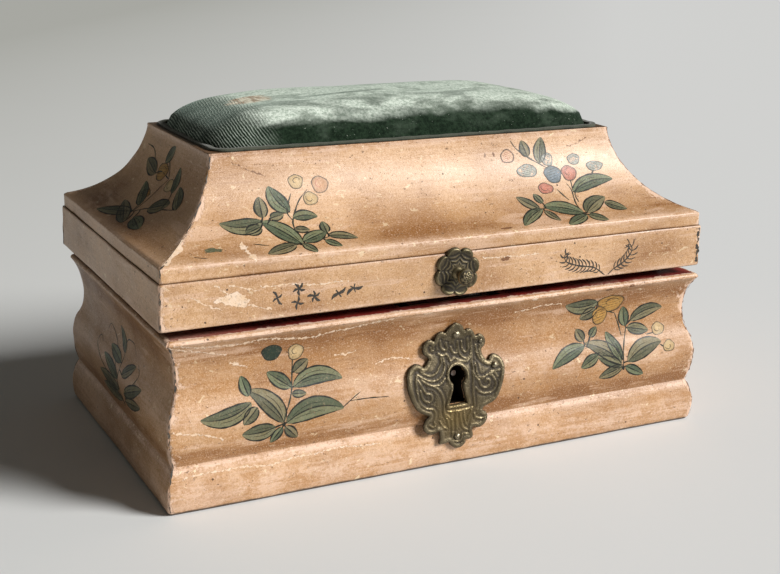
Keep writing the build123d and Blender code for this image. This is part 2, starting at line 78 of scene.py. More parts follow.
def meshFrom(name, points, faces, body, replaced=(), slot=None, smoothAngle=40):
    # Makes an object from vertex positions in millimetres and a list of faces
    mesh = bpy.data.meshes.new(name)
    mesh.from_pydata((np.asarray(points).reshape(-1, 3) * mm).tolist(), [], faces)
    mesh.validate()
    mesh.update()
    mesh.polygons.foreach_set("use_smooth", [True] * len(mesh.polygons))
    if smoothAngle:
        mesh.set_sharp_from_angle(angle=math.radians(smoothAngle))
    obj = linked(name, mesh)
    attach(obj, body)
    if replaced:
        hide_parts(*replaced)
    if slot:
        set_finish(obj, slot)
    return obj


def gridFaces(rows, columns, start=0, wrap=False):
    # Quads of a grid of rows by columns; wrap joins the last column to the first
    r, c = np.meshgrid(np.arange(rows - 1), np.arange(columns if wrap else columns - 1), indexing="ij")
    d = (c + 1) % columns
    quads = np.stack([r * columns + c, r * columns + d, (r + 1) * columns + d, (r + 1) * columns + c], -1)
    return (quads.reshape(-1, 4) + start).tolist()


def capped(rows, columns, start=0):
    # A wrapped grid closed by a face over its first and its last row
    end = start + (rows - 1) * columns
    caps = [list(range(start, start + columns))[::-1], list(range(end, end + columns))]
    return gridFaces(rows, columns, start, wrap=True) + caps


def flipped(faces):
    return [face[::-1] for face in faces]


def setAttribute(obj, name, values):
    layer = obj.data.attributes.new(name, "FLOAT", "POINT")
    layer.data.foreach_set("value", np.asarray(values, np.float32).ravel())


def arc(cx, cy, radius, start, end, count):
    # Points on a circle from one angle to another, in degrees
    a = np.radians(np.linspace(start, end, count))
    return np.stack([cx + radius * np.cos(a), cy + radius * np.sin(a)], -1)


def line(p, q, count):
    return np.linspace(np.array(p, float), np.array(q, float), count)


def hermite(p, pTangent, q, qTangent, count):
    # Cubic from p to q whose end speeds are the chord's length
    t = np.linspace(0, 1, count)[:, None]
    p, q = np.array(p, float), np.array(q, float)
    chord = np.linalg.norm(q - p)
    u = np.array(pTangent, float) / np.linalg.norm(pTangent) * chord
    v = np.array(qTangent, float) / np.linalg.norm(qTangent) * chord
    rise, leave, arrive = 3 * t**2 - 2 * t**3, t**3 - 2 * t**2 + t, t**3 - t**2
    return (1 - rise) * p + rise * q + leave * u + arrive * v


def bell(value, middle, width, power=2):
    # Falls off on both sides of the middle: exp(-(distance / width)^power)
    return np.exp(-((np.abs(value - middle) / width) ** power))


def chain(*runs):
    # Joins runs of points, leaving out the ones that repeat
    points = np.concatenate(runs)
    keep = np.r_[True, np.linalg.norm(np.diff(points, axis=0), axis=1) > 1e-4]
    return points[keep]


class Value:
    # A value in a node tree: operators and methods add the nodes that work on it
    def __init__(self, socket):
        self.socket = socket

    def tree(self):
        return self.socket.id_data

    def __add__(self, other):
        return maths("ADD", self, other)

    def __sub__(self, other):
        return maths("SUBTRACT", self, other)

    def __rsub__(self, other):
        return maths("SUBTRACT", other, self)

    def __mul__(self, other):
        return maths("MULTIPLY", self, other)

    def __truediv__(self, other):
        return maths("DIVIDE", self, other)

    def __abs__(self):
        return maths("ABSOLUTE", self)

    def ramp(self, low, high, outLow=0.0, outHigh=1.0, kind="SMOOTHSTEP"):
        # Smooth step from one level to another
        made = node(self.tree(), "MapRange", interpolation_type=kind)
        return wire(made, self, low, high, outLow, outHigh)[0]


def node(tree, kind, **settings):
    made = tree.nodes.new("ShaderNode" + kind)
    for key, setting in settings.items():
        setattr(made, key, setting)
    return made


def wire(made, *inOrder, **named):
    # Feeds a node's inputs in order, by name, or by number as _6: links a value or writes a plain one.
    # Gives the node's outputs.
    pairs = list(enumerate(inOrder)) + [
        (int(name[1:]) if name[0] == "_" else name.replace("_", " "), source) for name, source in named.items()
    ]
    for key, source in pairs:
        socket = made.inputs[key]
        if isinstance(source, Value):
            source.tree().links.new(source.socket, socket)
        elif isinstance(source, tuple) and len(source) == 3 and socket.type == "RGBA":
            socket.default_value = (*source, 1)
        else:
            socket.default_value = source
    return [Value(output) for output in made.outputs]


def maths(operation, *operands):
    tree = next(one.tree() for one in operands if isinstance(one, Value))
    return wire(node(tree, "Math", operation=operation), *operands)[0]


def mixed(share, a, b, blend="MIX"):
    tree = next(one.tree() for one in (share, a, b) if isinstance(one, Value))
    return wire(node(tree, "Mix", data_type="RGBA", blend_type=blend, clamp_factor=True), share, _6=a, _7=b)[2]


def noise(at, scale, detail, roughness=0.55, distortion=0.0):
    # Three scales stretch the pattern along the axes
    if isinstance(scale, tuple):
        at, scale = wire(node(at.tree(), "Mapping"), Vector=at, Scale=scale)[0], 1.0
    made = node(at.tree(), "TexNoise")
    return wire(made, Vector=at, Scale=scale, Detail=detail, Roughness=roughness, Distortion=distortion)[0]


def cells(at, scale):
    # Distance to the nearest of many scattered points, and that point's own colour
    return wire(node(at.tree(), "TexVoronoi", feature="F1"), Vector=at, Scale=scale)[:2]


def attribute(at, name, output="Fac"):
    return Value(node(at.tree(), "Attribute", attribute_name=name).outputs[output])


def axes(at):
    return wire(node(at.tree(), "SeparateXYZ"), at)


def newGroup(name, inputs, outputs):
    # A shader node group with named sockets: a tuple is a colour, None a vector, a number a float
    tree = bpy.data.node_groups.new(name, "ShaderNodeTree")
    for label, value in inputs.items():
        kind = {tuple: "Color", type(None): "Vector"}.get(type(value), "Float")
        socket = tree.interface.new_socket(name=label, in_out="INPUT", socket_type="NodeSocket" + kind)
        if value is not None:
            socket.default_value = (*value, 1) if kind == "Color" else value
    for label in outputs:
        kind = "Color" if label == "Color" else "Float"
        tree.interface.new_socket(name=label, in_out="OUTPUT", socket_type="NodeSocket" + kind)
    given = tree.nodes.new("NodeGroupInput").outputs
    return tree, {label: Value(given[label]) for label in inputs}, tree.nodes.new("NodeGroupOutput")


def placed(group, at, **values):
    made = node(at.tree(), "Group")
    made.node_tree = group
    wire(made, Vector=at, **values)
    return {output.name: Value(output) for output in made.outputs}


def newMaterial(name, **plain):
    # A material whose Principled BSDF has plain values on its own sockets, and the point on the object
    material = bpy.data.materials.new(name)
    material.use_nodes = True
    tree = material.node_tree
    shader = next(n for n in tree.nodes if n.type == "BSDF_PRINCIPLED")
    wire(shader, **plain)
    return material, shader, Value(node(tree, "TexCoord").outputs["Object"])


def bumped(shader, height, distance):
    wire(shader, Normal=wire(node(shader.id_data, "Bump"), Strength=1.0, Distance=distance, Height=height)[0])


def dress(obj, material):
    obj.data.materials.clear()
    obj.data.materials.append(material)


def oldPaintGroup():
    # Ochre ground paint under brown varnish, rubbed through to pale gesso where Edge is high
    tree, given, out = newGroup(
        "oldPaint",
        {
            "Vector": None, "Edge": 0.0, "Recess": 0.0, "Rubbed": 0.0, "Inside": 0.0, "Faded": 1.0,
            "Ground": (0.47, 0.24, 0.09), "Pale": (0.68, 0.425, 0.235), "Varnish": (0.27, 0.112, 0.028),
            "Gesso": (0.79, 0.555, 0.41), "Red": (0.26, 0.024, 0.017),
        },
        ("Color", "Roughness", "Height"),
    )
    at, edge, rubbed, gesso, varnish = (given[key] for key in ("Vector", "Edge", "Rubbed", "Gesso", "Varnish"))
    fine, grain = noise(at, 2100, 3, 0.75), noise(at, 620, 4, 0.7)
    patch, broad = noise(at, 120, 4, 0.65), noise(at, 24, 3, 0.55)
    streak, flame = noise(at, (60, 60, 780), 4, 0.6), noise(at, (28, 28, 210), 3, 0.6)
    tone = grain * 0.3 + patch * 0.4 + streak * 0.3
    color = mixed(tone.ramp(0.4, 0.61), given["Ground"], given["Pale"])
    # brown varnish in streaks and broad clouds, and thick where Recess is high; the case's recess bands under the
    # lip and in the notch are partly varnish and partly painted shade
    flow = flame * 0.6 + streak * 0.4
    brown = (broad + patch * 0.5).ramp(0.66, 0.96) * 0.55
    brown = brown + given["Recess"] * flow.ramp(0.34, 0.62, 0.4, 1.0) + streak.ramp(0.53, 0.7) * 0.24
    color = mixed(brown, color, varnish)
    color = mixed(flow.ramp(0.45, 0.38) * 0.4, color, gesso)
    # sandy speckle of the ground's own grit
    color = mixed(fine.ramp(0.53, 0.67) * 0.55, color, gesso)
    color = mixed(fine.ramp(0.48, 0.33) * 0.6, color, varnish)
    # rubbed bands: pinkish gesso shows through in a broken mottle; on the case's crests and along the cove's lip
    # and crown edge this is partly wear and partly painted highlight
    mottle = noise(at, (900, 900, 1400), 4, 0.8)
    speckle = mottle * 0.55 + patch * 0.45 + (streak - 0.5) * 0.4
    broken = rubbed * speckle.ramp(0.44, 0.57, 0.18, 1.0)
    color = mixed(broken, color, gesso)
    # cream scribbles and dabs, where the paint has crazed and flaked
    level = abs(noise(at, (330, 330, 520), 2, 0.5, 1.2) - 0.5)
    scribble = level.ramp(0.028, 0.012) * mottle.ramp(0.5, 0.6)
    color = mixed(scribble * (patch.ramp(0.5, 0.62) * (rubbed * 0.9 + 0.12)), color, (0.9, 0.74, 0.5))
    dab = noise(at, (300, 300, 470), 3, 0.6, 0.6).ramp(0.655, 0.69)
    color = mixed(dab * (rubbed * 0.5 + 0.4), color, (0.92, 0.75, 0.5))
    # stray pale abrasions all over
    color = mixed(noise(at, (260, 260, 900), 5, 0.75).ramp(0.635, 0.7) * 0.6, color, gesso)
    # worm holes and dark specks
    toHole, which = cells(at, 170)
    hole = toHole.ramp(0.04, 0.08, 1.0, 0.0) * which.ramp(0.72, 0.74)
    color = mixed(hole * 0.8, color, (0.07, 0.035, 0.018))
    pepper = noise(at, (700, 700, 1100), 3, 0.6).ramp(0.66, 0.72)
    color = mixed(pepper * 0.7, color, (0.14, 0.065, 0.03))
    # the inside is red, faded along the grain and at the left end
    x, _, z = axes(at)
    faded = (streak.ramp(0.5, 0.68, 0.0, 0.5) + x.ramp(-0.07, -0.1, 0.0, 0.55)) * grain.ramp(0.35, 0.55, 0.4, 1.0)
    red = mixed(patch.ramp(0.35, 0.7), given["Red"], (0.45, 0.6, 0.7), "MULTIPLY")
    red = mixed(faded * given["Faded"], red, mixed(0.6, given["Red"], gesso))
    color = mixed(given["Inside"], color, red)
    # arrises rubbed down to gesso, with a dirty line on the very corner, and a painted contact shadow at the foot
    bare = (edge + (grain - 0.5) * 1.3 + (patch - 0.5) * 2.0).ramp(0.5, 0.72)
    color = mixed(bare * 0.85, color, gesso)
    color = mixed(edge.ramp(0.76, 0.9) * patch.ramp(0.4, 0.52) * 0.9, color, (0.07, 0.035, 0.02))
    # painted shadow: near black at the very foot, where the box meets the floor
    footShadow = (z + (patch - 0.5) * 0.0014).ramp(0.0013, 0.0005)
    color = mixed(footShadow * 0.9, color, (0.035, 0.02, 0.012))
    wire(
        out, Color=color, Roughness=patch.ramp(0.3, 0.7, 0.38, 0.52) + bare * 0.3 + broken * 0.15,
        Height=fine * 0.22 + grain * 0.3 - bare * 0.35 - hole - pepper * 0.5 + streak * 0.35,
    )
    return tree


def patinaGroup():
    # Tarnished metal: dark in the hollows, rubbed bright where Relief is high
    tree, given, out = newGroup(
        "patina",
        {
            "Vector": None, "Relief": 0.5, "Dark": (0.06, 0.05, 0.03), "Metal": (0.33, 0.27, 0.15),
            "Tarnish": (0.2, 0.13, 0.05),
        },
        ("Color", "Roughness", "Metallic", "Height"),
    )
    at = given["Vector"]
    fine, patch = noise(at, 1600, 3, 0.6), noise(at, 260, 4, 0.6)
    rubbed = given["Relief"] + (fine - 0.5) * 0.5
    base = mixed(patch.ramp(0.35, 0.65), given["Metal"], given["Tarnish"])
    color = mixed(rubbed.ramp(0.12, 0.62), given["Dark"], base)
    color = mixed(rubbed.ramp(0.75, 1.15) * 0.6, color, (0.62, 0.55, 0.4))
    wire(
        out, Color=color, Roughness=rubbed.ramp(0.1, 1.0, 0.62, 0.34),
        Metallic=rubbed.ramp(0.1, 0.6, 0.35, 0.85), Height=fine * 0.6 + patch * 0.4,
    )
    return tree


oldPaint, patina = oldPaintGroup(), patinaGroup()


def paintMaterial(name, coat, **colors):
    material, shader, at = newMaterial(name, Coat_Weight=coat, Coat_Roughness=0.34, Specular_IOR_Level=0.45)
    masks = {mask.capitalize(): attribute(at, mask) for mask in ("edge", "recess", "rubbed", "inside")}
    made = placed(oldPaint, at, **masks, **colors)
    wire(shader, Base_Color=made["Color"], Roughness=made["Roughness"])
    bumped(shader, made["Height"], 0.00028)
    return material


def metalMaterial(name, relief=None, **colors):
    # Without a relief of its own the metal takes that of its pieces' attribute
    material, shader, at = newMaterial(name)
    made = placed(patina, at, Relief=attribute(at, "relief") if relief is None else relief, **colors)
    wire(shader, Base_Color=made["Color"], Roughness=made["Roughness"], Metallic=made["Metallic"])
    bumped(shader, made["Height"], 0.0001)
    return material


def plateMaterial():
    # Brass as above, yellower at the foot, on a punched ground of small dots
    material, shader, at = newMaterial("keyholePlateBrass")
    made = placed(
        patina, at, Relief=attribute(at, "relief"),
        Dark=(0.045, 0.034, 0.02), Metal=(0.19, 0.155, 0.095), Tarnish=(0.125, 0.1, 0.058),
    )
    color = mixed(attribute(at, "yellow") * 0.38, made["Color"], (0.3, 0.2, 0.055))
    wire(shader, Base_Color=color, Roughness=made["Roughness"], Metallic=made["Metallic"])
    bumped(shader, made["Height"] + cells(at, 1500)[0].ramp(0.1, 0.45, -0.6, 0.3), 0.00014)
    return material


casePaint = paintMaterial("casePaint", 0.2)
lidPaint = paintMaterial(
    "lidPaint", 0.32, Ground=(0.56, 0.325, 0.155), Pale=(0.74, 0.48, 0.28), Red=(0.17, 0.09, 0.045), Faded=0.15,
)
print("shared materials ready")

# bands: height, half width, strength; stains: along, height, half width, half height, strength
caseShape = {
    "length": 210.0, "depth": 120.0, "wall": 12.0, "rim": 58.5, "shift": (0.0, 0.0), "arris": 1.0,
    "torus": 16.0, "swell": 27.0, "turn": 35.65, "hollow": 44.3, "lip": 57.1,      # heights where the form changes
    # pale bands on the crests of the torus, the swelling and the lip: partly wear, partly painted highlight
    "wearAndHighlightBands": ((6.0, 5.0, 0.7), (14.7, 1.2, 0.95), (31.0, 3.5, 0.5), (57.5, 1.0, 1.0)),
    # the bands under the lip and in the notch darken the paint: partly varnish, partly painted shade
    "recessBands": ((18.5, 3.2, 0.95), (52.3, 3.9, 1.0), (41.0, 4.0, 0.2)),
    "stains": ((95.0, 36.0, 14.0, 16.0, 0.3), (-98.0, 8.0, 10.0, 5.0, 0.3), (-20.0, 47.0, 30.0, 3.0, 0.3)),
}
railShape = {
    "length": 210.0, "depth": 120.0, "wall": 15.0, "low": 61.8, "high": 77.2, "shift": (-1.5, 0.6), "arris": 0.9,
    "wearAndHighlightBands": ((62.4, 0.9, 0.7), (76.6, 0.8, 0.5)),
    "recessBands": ((77.1, 0.35, 1.0),),
    "stains": (
        (92.0, 70.0, 14.0, 5.0, 0.4), (-50.0, 64.0, 30.0, 3.0, 0.3), (20.0, 66.0, 16.0, 4.0, 0.25),
        (-100.0, 74.0, 5.0, 5.0, 0.5),
    ),
}
coveShape = {
    "length": 210.0, "depth": 120.0, "low": 77.2, "high": 111.5, "inset": 0.6, "lip": 4.4, "lipRound": 0.9,
    "run": 26.5, "top": 6.0, "board": 7.0, "radius": 36.0, "inner": 15.0, "shift": (-1.5, 0.6), "arris": 0.8,
    # pale bands along the cove's lip and its crown edge: partly wear, partly painted highlight
    "wearAndHighlightBands": ((81.6, 1.0, 0.9), (96.0, 8.0, 0.12), (110.5, 1.2, 0.75)),
    "recessBands": ((77.3, 0.3, 1.0), (84.0, 1.6, 0.3), (111.0, 0.9, 0.5)),
    "stains": (
        (94.0, 86.0, 16.0, 5.0, 0.75), (40.0, 84.0, 26.0, 3.0, 0.5), (-86.0, 86.0, 12.0, 5.0, 0.6),
        (-20.0, 86.0, 30.0, 4.0, 0.3), (74.0, 107.5, 9.0, 2.2, 0.5),
    ),
}


def bowed(low, high, level, edge, radius, outwards, count):
    # (inset, height) of an arc that is upright at a level and bows inwards or outwards as it leaves it
    z = np.linspace(low, high, count)
    bow = radius - np.sqrt(np.maximum(radius**2 - (z - level) ** 2, 0))
    return np.stack([edge + bow if outwards else edge - bow, z], -1)


def caseOutline():
    # Half-round foot, notch, swelling, hollow and flared lip: (inset, height) from the foot up
    torus, swell, turn, hollow, lip = (caseShape[key] for key in ("torus", "swell", "turn", "hollow", "lip"))
    # the half-round is a circle through (0.3, 0), (-0.6, 7.5) and (1.8, 16)
    a = np.array([[2 * (0.3 + 0.6), -15.0], [2 * (1.8 + 0.6), 17.0]])
    b = np.array([0.3**2 - 0.6**2 - 7.5**2, 1.8**2 - 0.6**2 + 16.0**2 - 7.5**2])
    centre = np.linalg.solve(a, b)
    radius = math.hypot(centre[0] + 0.6, centre[1] - 7.5)
    z = np.linspace(1.0, torus, 30)
    return chain(
        arc(1.1, 0.8, 0.8, 270, 190, 6),
        np.stack([centre[0] - np.sqrt(radius**2 - (z - centre[1]) ** 2), z], -1),
        bowed(torus, swell, swell, 0.1, 36.4, True, 20),
        bowed(swell, turn, swell, 0.1, 20.16, True, 16),
        bowed(turn, hollow, hollow, 4.0, 20.16, False, 16),
        hermite((4.0, hollow), (0, 1), (0.5, lip), (-0.8, 1), 24),
        arc(1.9, lip, 1.4, 180, 90, 8),
    )


def caseLoop():
    rim, wall = caseShape["rim"], caseShape["wall"]
    outer = caseOutline()
    rest = chain(
        line((1.9, rim), (wall, rim), 12), line((wall, rim), (wall, 6), 12), line((wall, 6), (8, 6), 3),
        line((8, 6), (8, 0), 4), line((8, 0), (1.1, 0), 5),
    )
    return outer, chain(outer, rest)[:-1]


def railLoop():
    low, high, wall = railShape["low"], railShape["high"], railShape["wall"]
    outer = chain(
        arc(0.7, low + 0.7, 0.7, 260, 180, 6), line((0, low + 0.7), (0, high - 0.6), 16),
        arc(0.6, high - 0.6, 0.6, 180, 100, 6),
    )
    rest = chain(
        line((0.6, high), (wall, high), 8), line((wall, high), (wall, low), 8), line((wall, low), (0.7, low), 10),
    )
    return outer, chain(outer, rest)


def coveLoop():
    # Foot, upright lip, hollow of one radius and a small rounding at the crown, then the inner faces
    s = coveShape
    low, high, inset, run, edge = s["low"], s["high"], s["inset"], s["run"], s["run"] + s["top"]
    lipTop, under = low + s["lip"], high - s["board"]
    start = np.array([inset + s["lipRound"], lipTop + s["lipRound"]])
    end = np.array([run, high])
    middle, half = (start + end) / 2, np.linalg.norm(end - start) / 2
    across = np.array([start[1] - end[1], end[0] - start[0]]) / (2 * half)
    centre = middle + across * math.sqrt(s["radius"] ** 2 - half**2)
    angles = [math.degrees(math.atan2(*(p - centre)[::-1])) for p in (start, end)]
    hollow = arc(*centre, s["radius"], *angles, 46)
    outer = chain(
        arc(inset + 0.35, low + 0.35, 0.35, 260, 180, 4), line((inset, low + 0.35), (inset, lipTop), 8),
        hermite((inset, lipTop), (0, 1), start, (0.9, 1.0), 7), hollow[hollow[:, 1] < high - 0.3],
        arc(run + 0.25, high - 0.55, 0.55, 150, 95, 5),
    )
    rest = chain(
        line((run + 0.3, high), (edge, high), 6), line((edge, high), (edge, under), 4),
        line((edge, under), (s["inner"], low), 8), line((s["inner"], low), (inset + 0.35, low), 8),
    )
    return outer, chain(outer, rest)


def wave(side, along, height):
    # Unevenness of hand-planed boards in millimetres: a few slow ripples added together
    k = turns[side] / 90.0 * 1.7
    return (
        0.11 * np.sin(along / 17 + 2.1 * k + height / 9) + 0.06 * np.sin(along / 7.3 - height / 6 + k)
        + 0.09 * np.sin(along / 33 + 5 * k) + 0.03 * np.sin(along / 3.1 + height / 2.3 + 3 * k) - 0.3
    )


def spans(shape, side):
    # Length of a side's board, and the distance of its face from the middle of the box
    longSide = side in ("front", "back")
    return (shape["length"], shape["depth"] / 2) if longSide else (shape["depth"], shape["length"] / 2)


def insetAt(outer, height):
    return np.interp(height, outer[:, 1], outer[:, 0])


def surfacePoint(shape, outer, side, along, height, lift, step=0.25):
    # Point on a board's outer face at a place along it and a height, raised along the face's normal
    slope = (insetAt(outer, height + step) - insetAt(outer, height - step)) / (2 * step)
    size = np.sqrt(1 + slope**2)
    out = spans(shape, side)[1] - insetAt(outer, height) + wave(side, along, height) + lift / size
    return shifted(turned(np.stack([along, -out, height + lift * slope / size], -1), side), shape)


def mouldedBoard(name, shape, loops, side, body, material, stations=150, endSteps=8):
    # Surface of two parameters: the section loop carried along the board, its ends mitred at 45 degrees.
    # Near each end the outer face curves in on a small arc, so that the corner has a rubbed, rounded arris.
    outer, loop = loops
    length, reach = spans(shape, side)
    count, k = len(loop), turns[side] / 90
    stations = int(stations * length / shape["length"])
    inset, height = loop[:, 0], loop[:, 1]
    isOuter = np.zeros(count)
    isOuter[:len(outer)] = 1.0
    isOuter[len(outer) - 2:len(outer)] = 0.6
    # t runs from -1 to 1 along the board, and bend from 45 degrees at each mitre to 0
    theta = np.radians(np.linspace(45, 0, endSteps))
    bend = np.r_[theta, np.zeros(stations), theta[::-1]][:, None]
    t = np.r_[-np.ones(endSteps), np.linspace(-1, 1, stations + 2)[1:-1], np.ones(endSteps)][:, None]
    radii = []
    for end in (-1, 1):
        uneven = (
            0.45 * np.sin(height / 2.7 + k * 2 + end) + 0.35 * np.sin(height / 1.1 + 3 * k - end)
            + 0.3 * np.sin(height / 7 + end * 2)
        )
        radii.append(np.clip(shape["arris"] * (1 + 0.55 * uneven), 0.45, 2.0))
    radius = np.where(t < 0, *radii)
    cut = radius * (1 - np.cos(bend)) * isOuter
    near = radius * np.where(isOuter > 0, 1 - np.sin(bend), 1 - bend / np.radians(45))
    half, atEnd = length / 2 - inset, np.abs(t) >= 1
    along = np.where(atEnd, np.sign(t) * (half - near), t * (half - radius))
    # outer points go in by the arc and out by the wave, and the mitre plane is kept
    deep = inset + cut - isOuter * wave(side, along, height)
    along = np.where(atEnd, np.sign(along) * (length / 2 - deep - (near - cut)), along)
    points = np.stack([along, deep - reach, np.broadcast_to(height, along.shape)], -1)
    points = shifted(turned(points, side), shape)
    obj = meshFrom(name, points, flipped(capped(len(t), count)), body, smoothAngle=38)
    # masks for the paint
    fromCorner = np.maximum(length / 2 - inset - np.abs(along), 0)
    edge = 0.95 * isOuter * np.exp(-((fromCorner / 3.0) ** 1.1))
    if shape is caseShape:
        # the rim is bare beside the lip and red farther in
        edge = np.maximum(edge, (height > shape["rim"] - 0.1) * bell(inset, 1.9, 1.6) * 0.75)
    rubbed, recess = (
        sum(strength * bell(height, level, width) for level, width, strength in shape[key]) * (isOuter > 0)
        + np.zeros_like(along) for key in ("wearAndHighlightBands", "recessBands")
    )
    for middle, level, wide, tall, strength in shape["stains"]:
        # brown clouds that belong to one place on each side, different for each side
        middle = middle if side == "front" else -0.6 * middle + 9 * k
        recess = recess + strength * bell(along, middle, wide) * bell(height, level, tall) * isOuter
    for mask, values in (("edge", edge), ("rubbed", rubbed), ("recess", recess), ("inside", 1 - isOuter)):
        setAttribute(obj, mask, np.clip(np.broadcast_to(values, along.shape), 0, 1))
    dress(obj, material)
    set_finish(obj, "painted_wood")
    return obj


def subtract(obj, cutter):
    made = obj.modifiers.new("cut", "BOOLEAN")
    made.operation, made.object, made.solver = "DIFFERENCE", cutter, "EXACT"
    bpy.context.view_layer.update()
    applied = evaluated(obj)
    obj.modifiers.clear()
    obj.data = applied
    bpy.data.objects.remove(cutter)


def plainPrism(outline, front, back):
    # A closed prism of an outline in X and Z between two places in Y, used only as a cutter
    n = len(outline)
    rings = [np.stack([outline[:, 0], np.full(n, y), outline[:, 1]], -1) for y in (front, back)]
    mesh = bpy.data.meshes.new("cutter")
    mesh.from_pydata((np.concatenate(rings) * mm).tolist(), [], capped(2, n))
    shape = bmesh.new()
    shape.from_mesh(mesh)
    bmesh.ops.recalc_face_normals(shape, faces=shape.faces)
    shape.to_mesh(mesh)
    shape.free()
    return linked("cutter", mesh)


lock = {
    "eye": (0.0, 33.0), "eyeRadius": 3.2, "neck": 1.9, "neckDrop": 4.3, "foot": 3.5, "footDrop": 10.2,
    "keyCut": (-64, -52.9),                                  # reach of the keyhole's cut in Y
    "beds": ((16, 21, -53, -48.5), (20, 18, -49, -47)),      # half width, foot, and reach in Y
    "bedTop": 59.5, "shadeFrom": -59.5, "shadedBed": (20.2, -53.1, -48.1, 17.8),
}


def keyholeOutline(margin=0.0, count=28):
    # Round eye over a skirt that widens downwards, points running anticlockwise
    r, neck, foot = lock["eyeRadius"] + margin, lock["neck"] + margin, lock["foot"] + margin
    drop, low = lock["footDrop"] + margin, math.degrees(math.asin(neck / r))
    eye = arc(0, 0, r, -90 + low, 270 - low, count)
    skirt = [(-neck, -lock["neckDrop"]), (-foot, -drop), (foot, -drop), (neck, -lock["neckDrop"])]
    return chain(eye, skirt) + np.array(lock["eye"])


def insideOf(points, outline):
    # True where a point lies inside a closed outline, by counting the edges to its right
    x, y = points[:, 0][:, None], points[:, 1][:, None]
    a, b = outline, np.roll(outline, -1, axis=0)
    spans = (a[:, 1] > y) != (b[:, 1] > y)
    with np.errstate(divide="ignore", invalid="ignore"):
        cross = a[:, 0] + (y - a[:, 1]) * (b[:, 0] - a[:, 0]) / (b[:, 1] - a[:, 1])
    return (spans & (x < cross)).sum(1) % 2 == 1


def shadeKeyhole(board):
    # Painted shade: the cut wood inside the keyhole and the lock's bed is coloured near black, for the dark seen
    # through the hole
    material, shader, at = newMaterial("keyholeShade", Roughness=0.8, Specular_IOR_Level=0.1)
    wire(shader, Base_Color=mixed(noise(at, 700, 3, 0.6), (0.006, 0.004, 0.003), (0.02, 0.013, 0.008)))
    board.data.materials.append(material)
    centres = np.zeros(len(board.data.polygons) * 3)
    board.data.polygons.foreach_get("center", centres)
    centres = centres.reshape(-1, 3) / mm
    x, y, z = centres.T
    half, front, back, low = lock["shadedBed"]
    within = insideOf(centres[:, [0, 2]], keyholeOutline(0.15)) & (y > lock["shadeFrom"])
    bed = (np.abs(x) < half) & (y > front) & (y < back) & (z > low)
    board.data.polygons.foreach_set("material_index", (within | bed).astype(np.int32))


caseLoops, railLoops, coveLoops = caseLoop(), railLoop(), coveLoop()
for side in turns:
    board = mouldedBoard("case" + side.capitalize() + "Board", caseShape, caseLoops, side, "case", casePaint)
    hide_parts(side + "_board")
    if side == "front":
        subtract(board, plainPrism(keyholeOutline(), *lock["keyCut"]))
        for half, foot, front, back in lock["beds"]:
            box = [(-half, foot), (half, foot), (half, lock["bedTop"]), (-half, lock["bedTop"])]
            subtract(board, plainPrism(np.array(box, float), front, back))
        shadeKeyhole(board)
    for part, shape, loops in (("rail", railShape, railLoops), ("cove", coveShape, coveLoops)):
        board = mouldedBoard("lid" + side.capitalize() + part.capitalize(), shape, loops, side, "lid", lidPaint)
        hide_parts("lid_" + side + "_" + part)
print("boards made")

